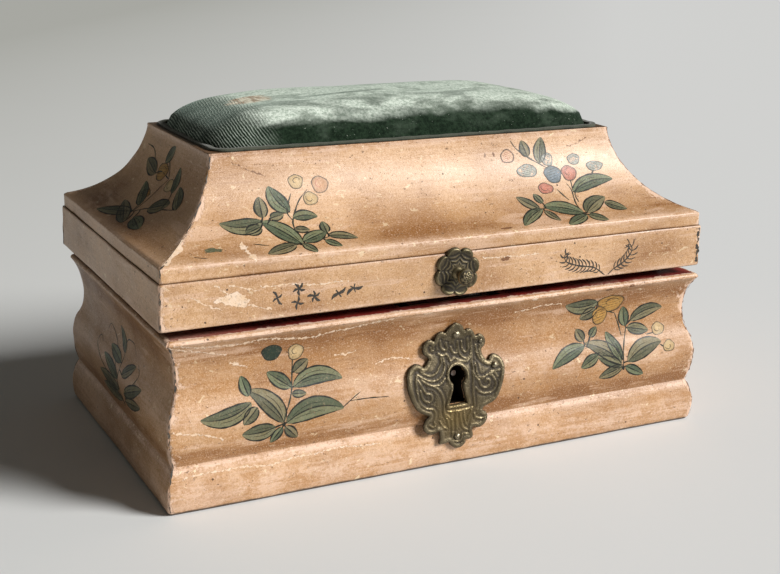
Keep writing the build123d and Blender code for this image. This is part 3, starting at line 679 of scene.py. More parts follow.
keyPlate = {
    "cell": 0.25, "thickness": 1.0, "standoff": 0.15, "band": 1.5, "ridge": 0.24, "ridgeWidth": 0.25,
    # outline and engraved lines, from the middle of the keyhole's eye
    "outline": (
        (0.8, 18.3), (2.5, 17.2), (3.5, 15.7), (4, 15.1), (4.6, 15.6), (6.2, 15.4), (7.4, 14.3), (8.1, 13),
        (8.7, 12.7), (9.9, 13.1), (11.5, 12.3), (12.4, 10.6), (12.1, 8.8), (11.1, 7.9), (10.7, 7.1),
        (11.1, 5.4), (12.2, 3.8), (13.1, 3.5), (13.8, 4.4), (14.6, 5.1), (16.3, 5.1), (18.1, 3.9), (19.1, 1.9),
        (19.1, -0.4), (18.4, -3.6), (17.3, -7.4), (15.7, -10.4), (13.3, -11.8), (11.4, -12.4), (10.3, -13),
        (10.1, -14.1), (11.4, -14.8), (12, -16.2), (11.7, -17.9), (10.3, -19.5), (8.3, -20.1), (6.4, -19.6),
        (5.7, -20.3), (6.2, -22.1), (5.9, -23.4), (4.5, -23.9), (3.4, -23.7), (3.3, -24.7), (2.5, -25.7),
        (1.1, -26.4), (-0.8, -26.3), (-2.4, -25.3), (-3.4, -23.8), (-4.2, -23.9), (-6.7, -24), (-7.3, -23.7),
        (-7.1, -22), (-7.2, -20.2), (-7.6, -19.1), (-8.7, -19.6), (-10.5, -19.8), (-12.3, -19.2),
        (-13.4, -17.8), (-13.6, -16), (-12.8, -14.4), (-11.7, -13.5), (-11.6, -12.9), (-13.2, -12.2),
        (-15.5, -10.8), (-17.4, -8.1), (-18.7, -5.4), (-19.6, -2.3), (-19.6, 0.6), (-19.1, 3), (-17.7, 4.6),
        (-15.8, 5.5), (-13.8, 5.1), (-13, 4.3), (-12.4, 4.3), (-11.5, 5.1), (-10.8, 5.9), (-10.3, 6.5),
        (-10.7, 7.2), (-12, 8.2), (-12.5, 9.8), (-12.2, 11.8), (-10.7, 13.2), (-9.2, 13.2), (-8.2, 12.6),
        (-7.6, 14), (-6.8, 15.3), (-5.3, 15.8), (-3.9, 15.3), (-3.1, 16.3), (-1.8, 17.7), (-0.4, 18.5),
    ),
    "lines": (
        ((-15.9, 1.9), (-16.5, -0.8), (-16, -4.8), (-15, -7.8), (-12.9, -9.8), (-10.2, -10.6), (-8.9, -12.4),
         (-9.1, -14.6)),
        ((-15.6, 2.2), (-14, 1.1), (-11.9, -0.1), (-9.7, -0.6), (-7.4, -0.1), (-5.6, 1.6), (-4.6, 3.6),
         (-4.7, 5.8), (-5.8, 7.6)),
        ((-14.2, 2.9), (-12.3, 1.8), (-10.2, 1.2), (-8.2, 1.9), (-7.2, 3), (-5.8, 4.7), (-5.7, 6.3)),
        ((-14.1, 0.2), (-12.1, -1.4), (-9.9, -2.3), (-8.1, -3.6), (-6.6, -5.5), (-5.7, -8.1), (-5.7, -10.6),
         (-5.5, -12.7), (-3.3, -14.8)),
        ((-9.9, -2.3), (-8, -2.3), (-6.4, -1.5), (-5.2, -0.4)),
        ((-15.6, 0.4), (-14, -2.7), (-12.6, -4.6), (-11.1, -4.9), (-10.3, -6.4), (-11, -7.7), (-12.9, -7.4),
         (-14.3, -5.8), (-15, -3.3)),
        ((-5.8, 12.3), (-5.4, 10.2), (-4.2, 9), (-3.1, 9.2), (-3.5, 11.3)),
        ((-1.6, 9.7), (-0.8, 7.9), (0.6, 7.4), (1.1, 9)),
        ((1.1, 11.4), (1.5, 8.3), (2.8, 5.8), (5, 5.2), (6.4, 7), (6.3, 10.4)),
        ((2.6, 11.2), (3, 8.8), (4.1, 7.3), (5.3, 8.5), (5.1, 11.9)),
        ((-6.5, 8), (-4.7, 7.1), (-3.5, 7.6), (-2.5, 6.2), (-2, 4.9), (-0.6, 5.9), (0.7, 5.2), (2.4, 4.6),
         (4.4, 4.2), (6.2, 5.4)),
        ((6.5, 11.8), (6.8, 7.6), (6.3, 3.8), (6.3, 0.7), (7.4, -1.8), (8.5, -2.6)),
        ((8.4, 9.1), (8.7, 6.4), (9.9, 4), (11.9, 2.5), (13.6, 2.1)),
        ((7.5, 3), (7.6, 0.5), (8.5, -1.6), (10.1, -1.8)),
        ((6.9, -5.1), (8.5, -6.8), (10.9, -7.8), (13.2, -7.7), (14.7, -6.6), (15.1, -4.2), (14, -2), (12.9, -1.2)),
        ((8.4, -2.9), (9.2, -4.8), (10.8, -5.7), (12.3, -5.2), (12.7, -3.5), (11.6, -2.7), (10.8, -3.6)),
        ((9.6, -2.4), (12.1, -1.1), (14.5, -0.7), (15.9, -2.3)),
        ((13.3, -0.3), (15.3, -0.3), (16.9, -0.2)),
        ((6, 0.5), (6, -2.2), (5.9, -5.5), (6.2, -8.1), (6.6, -11.8)),
        ((-4.1, -12.4), (0.5, -12.7), (5.9, -12.3)),
        ((-5.3, -13.4), (-4.1, -15.8), (-3.7, -18.3)),
        ((-2.6, -13.1), (-2.6, -15.7), (-2.2, -19.2)),
        ((-0.7, -13.1), (-0.8, -15.2), (-0.4, -19.2)),
        ((0.8, -13.2), (0.9, -15.4), (1.9, -18.8), (3.7, -20.2)),
        ((2.4, -13.2), (2.5, -15.6), (3.6, -18.4)),
        ((5.4, -13.2), (4.4, -14.9), (4, -17)),
        ((-7.2, -15.6), (-6, -17.6), (-4.5, -18.5)),
        ((-11.3, -16.3), (-10.2, -17.2), (-9, -16.7), (-9.4, -15.6)),
        ((6.7, -14.7), (7.1, -16.1), (8.7, -16.7), (10.3, -16.7)),
        ((-2.1, -20.3), (-1.9, -23.2), (0.8, -23.9), (1.9, -21.6)),
        ((2.6, -21.4), (3.7, -21.6), (4.9, -22.4)),
        ((-9.5, 10.4), (-9.1, 9.3), (-8.4, 9.6), (-8.6, 11)),
        ((10, 10.9), (10.8, 10.1), (11.3, 10.7)),
    ),
    # pins: across, up, head radius, head height
    "pins": ((0.4, 14.2, 1.35, 1), (15.2, 1.7, 1.15, 0.9), (-0.3, -21.9, 1.1, 0.8), (10.4, 10.6, 0.7, 0.5)),
}


def smoothed(points, closed=False, perSpan=6):
    # Curve through the points: on each span a cubic whose end slopes join the neighbouring points
    p = np.array(points, float)
    if closed:
        q = np.concatenate([p[-1:], p, p[:2]])
    else:
        q = np.concatenate([2 * p[:1] - p[1:2], p, 2 * p[-1:] - p[-2:-1]])
    a, b, c, d = q[:-3, None], q[1:-2, None], q[2:-1, None], q[3:, None]
    t = np.linspace(0, 1, perSpan, endpoint=False)[None, :, None]
    made = 0.5 * (2 * b + (c - a) * t + (2 * a - 5 * b + 4 * c - d) * t**2 + (3 * b - a - 3 * c + d) * t**3)
    made = made.reshape(-1, p.shape[1])
    return made if closed else np.concatenate([made, p[-1:]])


def evenly(points, step, closed=False):
    # Points at even steps along a polyline
    p = np.concatenate([points, points[:1]]) if closed else np.asarray(points)
    d = np.r_[0, np.cumsum(np.linalg.norm(np.diff(p, axis=0), axis=1))]
    count = max(int(round(d[-1] / step)), 2)
    at = np.linspace(0, d[-1], count, endpoint=not closed)
    return np.stack([np.interp(at, d, p[:, k]) for k in range(p.shape[1])], -1)


def nearest(points, cloud, chunk=4000):
    # Distance from each point to the nearest point of a cloud, and which one it is
    far, which = [], []
    for start in range(0, len(points), chunk):
        d = np.linalg.norm(points[start:start + chunk, None] - cloud[None], axis=2)
        which.append(d.argmin(1))
        far.append(d.min(1))
    return np.concatenate(far), np.concatenate(which)


def plateInset(height):
    # Inset of a sheet lying on the case moulding, which bridges the notch with an S-curve
    t = np.clip((height - 7.5) / 19.5, 0, 1)
    bridge = -0.6 + 0.7 * (3 * t**2 - 2 * t**3)
    return np.where(height < caseShape["swell"], bridge, insetAt(caseLoops[0], height))


def plateBase(height):
    # How far in front of the box's middle the plate's back lies
    return caseShape["depth"] / 2 - plateInset(height) + keyPlate["standoff"]


def keyholePlate():
    # Height field over a square grid inside the outline. The height is the sum of a smooth rim band,
    # a rounded ridge with a hollow beside it along each engraved line, and a raised ring round the keyhole.
    s = keyPlate
    edge = evenly(smoothed(s["outline"], closed=True), 0.12, closed=True)
    hole = evenly(keyholeOutline() - np.array(lock["eye"]), 0.12, closed=True)
    x, z = np.meshgrid(np.arange(-20.5, 20.5, s["cell"]), np.arange(-27.5, 19.5, s["cell"]))
    grid = np.stack([x.ravel(), z.ravel()], -1)
    inside = insideOf(grid, edge) & ~insideOf(grid, hole)
    toEdge, edgeNear = nearest(grid, edge)
    toHole, holeNear = nearest(grid, hole)
    # points beside an outline are pulled onto it
    kept = inside | (np.minimum(toEdge, toHole) < 0.6 * s["cell"])
    snapEdge = kept & ((~inside & (toEdge <= toHole)) | (inside & (toEdge < 0.3 * s["cell"])))
    snapHole = kept & ((~inside & (toHole < toEdge)) | (inside & (toHole < 0.3 * s["cell"])))
    grid[snapEdge] = edge[edgeNear[snapEdge]]
    grid[snapHole] = hole[holeNear[snapHole]]
    keptGrid, columns = kept.reshape(x.shape), x.shape[1]
    r, c = np.nonzero(keptGrid[:-1, :-1] & keptGrid[1:, :-1] & keptGrid[:-1, 1:] & keptGrid[1:, 1:])
    quads = np.stack([r * columns + c, r * columns + c + 1, (r + 1) * columns + c + 1, (r + 1) * columns + c], -1)
    used = np.unique(quads)
    number = np.full(len(grid), -1)
    number[used] = np.arange(len(used))
    quads, flat = number[quads], grid[used]
    engraved = np.concatenate([evenly(smoothed(cut), 0.25) for cut in s["lines"]])
    toEdge, toHole, toLine = (nearest(flat, cloud)[0] for cloud in (edge, hole, engraved))
    border = 1 / (1 + np.exp((toEdge - s["band"]) / 0.13))
    ring = bell(toHole, 0.75, 0.6, 4)
    ridge, hollow = (bell(toLine, *at) * (1 - border) * (1 - ring) for at in ((0, s["ridgeWidth"]), (0.85, 0.42)))
    lift = 0.3 * border + s["ridge"] * ridge - 0.2 * hollow + 0.45 * ring
    lift -= 0.38 * bell(toEdge, 0, 0.35) + 0.3 * bell(toHole, 0, 0.25)
    lift += 0.03 * np.sin(flat[:, 0] * 5.1 + np.sin(flat[:, 1] * 4.3)) * (1 - border)
    height = flat[:, 1] + lock["eye"][1]
    base, n = plateBase(height), len(flat)
    front = np.stack([flat[:, 0], -(base + s["thickness"] - 0.1 + lift), height], -1)
    back = np.stack([flat[:, 0], -base, height], -1)
    # edges used by one quad only are the rim, and get a wall to the back
    pairs = np.stack([quads, np.roll(quads, -1, axis=1)], -1).reshape(-1, 2)
    _, first, counts = np.unique(np.sort(pairs, axis=1), axis=0, return_index=True, return_counts=True)
    rim = pairs[first[counts == 1]]
    walls = np.stack([rim[:, 1], rim[:, 0], rim[:, 0] + n, rim[:, 1] + n], -1)
    faces = np.concatenate([quads, quads[:, ::-1] + n, walls]).tolist()
    obj = meshFrom("keyholePlate", np.concatenate([front, back]), faces, "case", ["escutcheon"], "old_brass", 50)
    relief = 0.42 + 0.22 * border + 0.5 * ridge - 0.34 * hollow + 0.32 * ring - 0.35 * bell(toEdge, 0, 0.2)
    yellow = bell(flat[:, 0], -1, 9) * bell(flat[:, 1], -15, 6) * (1 - border)
    setAttribute(obj, "relief", np.r_[np.clip(relief, 0, 1.2), np.zeros(n)])
    setAttribute(obj, "yellow", np.r_[yellow, np.zeros(n)])
    return obj


def roundAbout(steps):
    return np.linspace(0, 2 * np.pi, steps, endpoint=False)


def lathe(profile, steps, centre, wobble=lambda a: 1.0):
    # Turned surface: the profile of (radius, distance) carried round an axis that points to the front
    a = roundAbout(steps)
    radius, out = profile[:, 0][:, None] * wobble(a), profile[:, 1][:, None]
    x, z = centre[0] + radius * np.cos(a), centre[2] + radius * np.sin(a)
    return np.stack([x, centre[1] - np.broadcast_to(out, x.shape), z], -1)


def pinHeads(steps=20):
    points, faces = [], []
    a = np.radians(np.linspace(0, 88, 9))
    for number, (across, up, radius, tall) in enumerate(keyPlate["pins"]):
        height = up + lock["eye"][1]
        seat = -(float(plateBase(np.array(height))) + keyPlate["thickness"])
        profile = np.concatenate([[[radius * 0.8, -0.5]], np.stack([radius * np.cos(a), tall * np.sin(a)], -1)])
        made = lathe(profile, steps, (across, seat, height), lambda t: 1 + 0.05 * np.sin(3 * t + across))
        points.append(made.reshape(-1, 3))
        faces += capped(len(profile), steps, number * made[..., 0].size)
    obj = meshFrom("keyholePlatePins", np.concatenate(points), faces, "case", ["escutcheon_pins"], "old_brass", 60)
    setAttribute(obj, "relief", np.full(len(obj.data.vertices), 0.95))
    return obj


lidFace = railShape["depth"] / 2 - railShape["shift"][1]
rosette = {
    "centre": (-1.5, 70.6), "petals": 8, "radius": 8.8, "waist": 7.2, "thickness": 0.8, "turn": 14.0,
    "knob": (-1.5, 70.2), "knobReach": 67.35,
}


def knobPlate(rings=46, steps=192):
    # Polar height field: eight dished petals with raised rims, parted by grooves, with fine engraved arcs
    s = rosette
    a = roundAbout(steps)
    lobe = np.abs(np.cos(s["petals"] * (a - math.radians(s["turn"])) / 2))
    edge = s["waist"] + (s["radius"] - s["waist"]) * np.sqrt(lobe)
    t = np.linspace(0.06, 1, rings)[:, None]
    r, fromRim = t * edge, (1 - t) * edge
    groove = bell(lobe, 0, 0.2) * np.clip((r - 2.4) / 2.5, 0, 1)
    dish = np.clip(1 - ((r - 5.4) / 2.6) ** 2, 0, 1) * (1 - groove)
    ledge = bell(fromRim, 0.75, 0.45) * (1 - 0.5 * groove)
    arcs = np.sin(r * 4.2 + 1.4 * lobe * 3) * bell(r, 4.6, 1.7)
    lift = 0.26 * ledge - 0.2 * dish - 0.3 * groove + 0.13 * arcs - 0.5 * bell(fromRim, 0, 0.35)
    x, z = s["centre"][0] + r * np.cos(a), s["centre"][1] + r * np.sin(a)
    top = np.stack([x, -(lidFace + s["thickness"] + lift), z], -1)
    rim = np.stack([x[-1], np.full(steps, -lidFace - 0.02), z[-1]], -1)
    points, faces = np.concatenate([top.reshape(-1, 3), rim]), flipped(capped(rings + 1, steps))
    obj = meshFrom("knobRosette", points, faces, "lid", ["knob_rosette"], "old_brass", 50)
    relief = 0.34 + 0.5 * ledge - 0.16 * dish - 0.35 * groove + 0.4 * arcs
    setAttribute(obj, "relief", np.r_[np.clip(relief, 0, 1.1).ravel(), np.zeros(steps)])
    return obj


def knobHead(steps=64):
    # Turned knob with a leaf pattern cut into its face as small alternate hollows
    s = rosette
    profile = chain(
        hermite((2.3, 0.0), (-0.2, 1), (1.3, 1.3), (-0.3, 1), 7),
        hermite((1.35, 2.0), (0.2, 1), (2.95, 5.2), (0.1, 1), 12),
        arc(0, 0, 1.0, 0, 86, 26) * np.array([2.95, 1.95]) + np.array([0, 5.2]),
    )
    points = lathe(profile, steps, (s["knob"][0], -lidFace - s["thickness"], s["knob"][1]))
    face = np.clip(profile[:, 1] - 5.2, 0, 1)[:, None]
    r = profile[:, 0][:, None]
    cut = np.sin(6 * roundAbout(steps) + r * 1.5) * np.cos(r * 4.6) * face
    cut = np.where(r < 2.5, cut, 0) - 0.6 * bell(r, 2.45, 0.16) * face
    points[..., 1] = np.maximum(points[..., 1] - 0.13 * cut + 0.1 * face, -s["knobReach"])
    obj = meshFrom("knobHead", points, capped(len(profile), steps), "lid", ["knob"], "old_brass", 60)
    setAttribute(obj, "relief", np.clip(0.45 + 0.45 * cut + 0.25 * (1 - face), 0, 1.1))
    return obj


knobBrass = metalMaterial(
    "knobBrass", Dark=(0.022, 0.016, 0.008), Metal=(0.23, 0.185, 0.11), Tarnish=(0.12, 0.1, 0.052),
)
for finish, makers in ((plateMaterial(), (keyholePlate, pinHeads)), (knobBrass, (knobPlate, knobHead))):
    for maker in makers:
        dress(maker(), finish)
print("keyhole plate and knob made")

cushion = {
    "foot": 111.6, "halfLength": 76.1, "halfDepth": 31.8, "crown": 13.4, "squareness": 0.3,
    "pressure": 3.2, "frames": 20, "heldBelow": 1.2, "mostMove": 1.6,
}


def cushionBase(rings=34, steps=220):
    # Crowned pillow over a rounded rectangle: rings shrink towards the middle as the height rises.
    # Height = crown * (1 - s^3.4)^(1/2.1), where s is 1 at the foot and 0 at the middle.
    s = cushion
    a = roundAbout(steps)
    # rounded rectangle as a superellipse whose power keeps the ends full
    ux, uy = (np.sign(w) * np.abs(w) ** s["squareness"] for w in (np.cos(a), np.sin(a)))
    t = (np.linspace(1, 0, rings) ** 0.8)[:-1, None]
    height = s["foot"] + s["crown"] * (1 - t**3.4) ** (1 / 2.1)
    x, y = t * s["halfLength"] * ux, t * s["halfDepth"] * uy
    ring = np.stack([x, y, np.broadcast_to(height, x.shape)], -1)
    foot = ring[0] - np.array([0, 0, 0.05])
    points = shifted(np.concatenate([foot, ring.reshape(-1, 3), [[0, 0, s["foot"] + s["crown"]]]]), railShape)
    last = (rings - 1) * steps
    faces = gridFaces(rings, steps, wrap=True) + [list(range(steps))[::-1]]
    faces += [[last + i, last + (i + 1) % steps, last + steps] for i in range(steps)]
    return points, faces


def inflate(obj):
    # Cloth run: the foot is held, air pressure fills the rest
    s, scene, before = cushion, bpy.context.scene, placesOf(obj)
    held = obj.vertex_groups.new(name="held")
    held.add(np.nonzero(before[:, 2] < s["foot"] + s["heldBelow"])[0].tolist(), 1.0, "REPLACE")
    cloth = obj.modifiers.new("cloth", "CLOTH").settings
    cloth.quality, cloth.mass = 6, 0.3
    cloth.tension_stiffness = cloth.compression_stiffness = 25
    cloth.shear_stiffness, cloth.bending_stiffness = 12, 1.5
    cloth.use_pressure, cloth.uniform_pressure_force = True, s["pressure"]
    cloth.vertex_group_mass = "held"
    cloth.effector_weights.gravity = 0
    for number in range(1, s["frames"] + 1):
        scene.frame_set(number)
    after = np.array([v.co[:] for v in evaluated(obj).vertices]) / mm
    obj.modifiers.clear()
    obj.vertex_groups.clear()
    scene.frame_set(1)
    if after.shape != before.shape or not np.isfinite(after).all():
        return
    far = np.linalg.norm(after - before, axis=1)
    move = (after - before) * np.minimum(1, s["mostMove"] / np.maximum(far, 1e-6))[:, None]
    obj.data.vertices.foreach_set("co", ((before + move) * mm).ravel())
    obj.data.update()
    print("cushion inflated, largest move", round(float(far.max()), 2), "mm")


def shapeCushion(obj):
    # Wear: a soft dent on the crown, slight puckers along the foot and unevenness of the stuffing
    p = placesOf(obj)
    x, y, z = p.T
    rise = np.clip((z - cushion["foot"]) / cushion["crown"], 0, 1)
    dent = 0.9 * bell(x, -38, 14) * bell(y, 4, 12) + 0.5 * bell(x, 22, 20) * bell(y, -6, 9)
    lumps = 0.35 * np.sin(x / 11 + y / 9) + 0.25 * np.sin(x / 6.1 - y / 7) + 0.15 * np.sin(x / 3.3 + y / 4.1)
    p[:, 2] -= rise * (dent + np.maximum(lumps, -0.4) * 0.6)
    p[:, 1] += np.sign(y) * 0.22 * np.sin(x / 1.9) * bell(rise, 0.2, 0.18) * (np.abs(y) > 18)
    obj.data.vertices.foreach_set("co", (p * mm).ravel())
    obj.data.update()
    # how far each vertex faces up, for the velvet's painted sheen on its top, so that this follows the lid when it
    # opens
    normals = np.empty(len(p) * 3, np.float32)
    obj.data.vertex_normals.foreach_get("vector", normals)
    setAttribute(obj, "facing", normals[2::3])


def velvetMaterial():
    # Silk velvet: dark green, with a painted sheen of pale mint where it faces up, broken by swirls of the pile
    material, shader, at = newMaterial(
        "cushionVelvet", Roughness=0.95, Specular_IOR_Level=0.12,
        Sheen_Weight=0.45, Sheen_Roughness=0.35, Sheen_Tint=(0.62, 0.8, 0.7),
    )
    facing, (x, y, z) = attribute(at, "facing"), axes(at)
    swirl, broad = noise(at, (26, 60, 60), 2, 0.5, 1.6), noise(at, (34, 80, 30), 3, 0.6, 0.8)
    fine, blotch = noise(at, 900, 3, 0.7), noise(at, (90, 140, 140), 4, 0.65)
    # painted sheen: paler where the cushion faces up, as light from above falls on its top
    pale = (facing + (broad - 0.5) * 0.55).ramp(0.62, 0.97) * swirl.ramp(0.46, 0.68).ramp(0.0, 1.0, 1.0, 0.5)
    dark = mixed(fine.ramp(0.3, 0.75), (0.003, 0.009, 0.004), (0.017, 0.034, 0.018))
    dark = mixed(blotch.ramp(0.46, 0.7, 0.0, 0.45), dark, (0.07, 0.1, 0.07))
    mint = mixed(fine.ramp(0.3, 0.7), (0.38, 0.46, 0.38), (0.82, 0.9, 0.8))
    mint = mixed(blotch.ramp(0.45, 0.72, 0.0, 0.75), mint, (0.13, 0.16, 0.125))
    # left end: ribbed where the pile is worn to rows
    leftward = (x + broad * 0.012).ramp(-0.046, -0.06)
    ribAt = x * 0.8 + z * 0.6 + y * -0.2 + noise(at, 150, 3, 0.6) * 0.0018
    rib = maths("SINE", ribAt * 6600.0).ramp(-0.3, 0.8)
    worn = leftward * blotch.ramp(0.35, 0.62, 0.25, 0.9)
    color = mixed(pale * (1.0 - leftward) + worn * (rib * 0.75), dark, mint)
    # worn brown and cream patch on the crown
    spotX, spotY = (x + 0.052) / 0.0085, (y - 0.001) / 0.0075
    bald = (spotX * spotX + spotY * spotY + (broad - 0.5) * 2.4).ramp(1.2, 0.5) * facing.ramp(0.6, 0.9)
    thread = mixed(noise(at, (900, 200, 200), 2).ramp(0.35, 0.65), (0.33, 0.2, 0.12), (0.78, 0.7, 0.55))
    color = mixed(bald, color, thread)
    # pale lint specks
    color = mixed(noise(at, 1300, 1, 0.5).ramp(0.73, 0.78) * 0.45, color, (0.45, 0.5, 0.42))
    wire(shader, Base_Color=color)
    bumped(shader, fine * 0.8 + rib * leftward * 1.6, 0.0003)
    return material


piping = {"half": (76.6, 32.4), "corner": 6.0, "foot": 111.5, "step": 1.2}


def pipingBand():
    # Flat cloth band round the cushion's foot: a small rounded section carried round a rounded rectangle
    s, corner = piping, piping["corner"]
    half = np.array(s["half"]) - corner
    arcs = [
        half * (sx, sy) + arc(0, 0, corner, 90 * k, 90 * k + 90, 10)
        for k, (sx, sy) in enumerate(((1, 1), (-1, 1), (-1, -1), (1, -1)))
    ]
    path = evenly(np.concatenate(arcs), s["step"], closed=True)
    forward = np.roll(path, -1, axis=0) - np.roll(path, 1, axis=0)
    forward /= np.linalg.norm(forward, axis=1)[:, None]
    out = np.stack([forward[:, 1], -forward[:, 0]], -1)
    section = np.array([
        (-2.4, 0.0), (-0.1, 0.0), (0.0, 0.25), (-0.05, 0.6), (-0.25, 0.9), (-0.7, 1.05), (-1.5, 1.05), (-2.3, 0.9),
    ])
    number, d, h = np.arange(len(path))[:, None], section[:, 0], section[:, 1]
    wobble = 0.12 * np.sin(number * 0.9) + 0.08 * np.sin(number * 0.37)
    across = path[:, None] + out[:, None] * (d + 0.5 * wobble * (h / 2.6))[..., None]
    z = s["foot"] + h * (1 + 0.5 * wobble)
    points = shifted(np.concatenate([across, z[..., None]], -1), railShape)
    n, m = len(path), len(section)
    i, j = np.meshgrid(np.arange(n), np.arange(m), indexing="ij")
    i2, j2 = (i + 1) % n, (j + 1) % m
    faces = np.stack([i * m + j, i2 * m + j, i2 * m + j2, i * m + j2], -1).reshape(-1, 4)
    return meshFrom("cushionBand", points, faces.tolist(), "lid", ["cushion_piping"], "piping", 60)


def bandMaterial():
    material, shader, at = newMaterial("cushionBandCloth", Roughness=0.85, Specular_IOR_Level=0.2, Sheen_Weight=0.3)
    fine, patch = noise(at, 1400, 3, 0.7), noise(at, 160, 3, 0.6)
    color = mixed(patch.ramp(0.35, 0.65), (0.008, 0.012, 0.007), (0.025, 0.033, 0.02))
    # the upper edge is worn pale
    top = (axes(at)[2] + patch * 0.0012).ramp(0.1122, 0.1126)
    color = mixed(top * 0.22, color, (0.3, 0.3, 0.22))
    wire(shader, Base_Color=mixed(fine * 0.5, color, (0.01, 0.02, 0.015)))
    bumped(shader, fine, 0.0002)
    return material


velvet = meshFrom("velvetCushion", *cushionBase(), "lid", ["cushion"], "velvet", 0)
inflate(velvet)
shapeCushion(velvet)
dress(velvet, velvetMaterial())
dress(pipingBand(), bandMaterial())
print("cushion made")

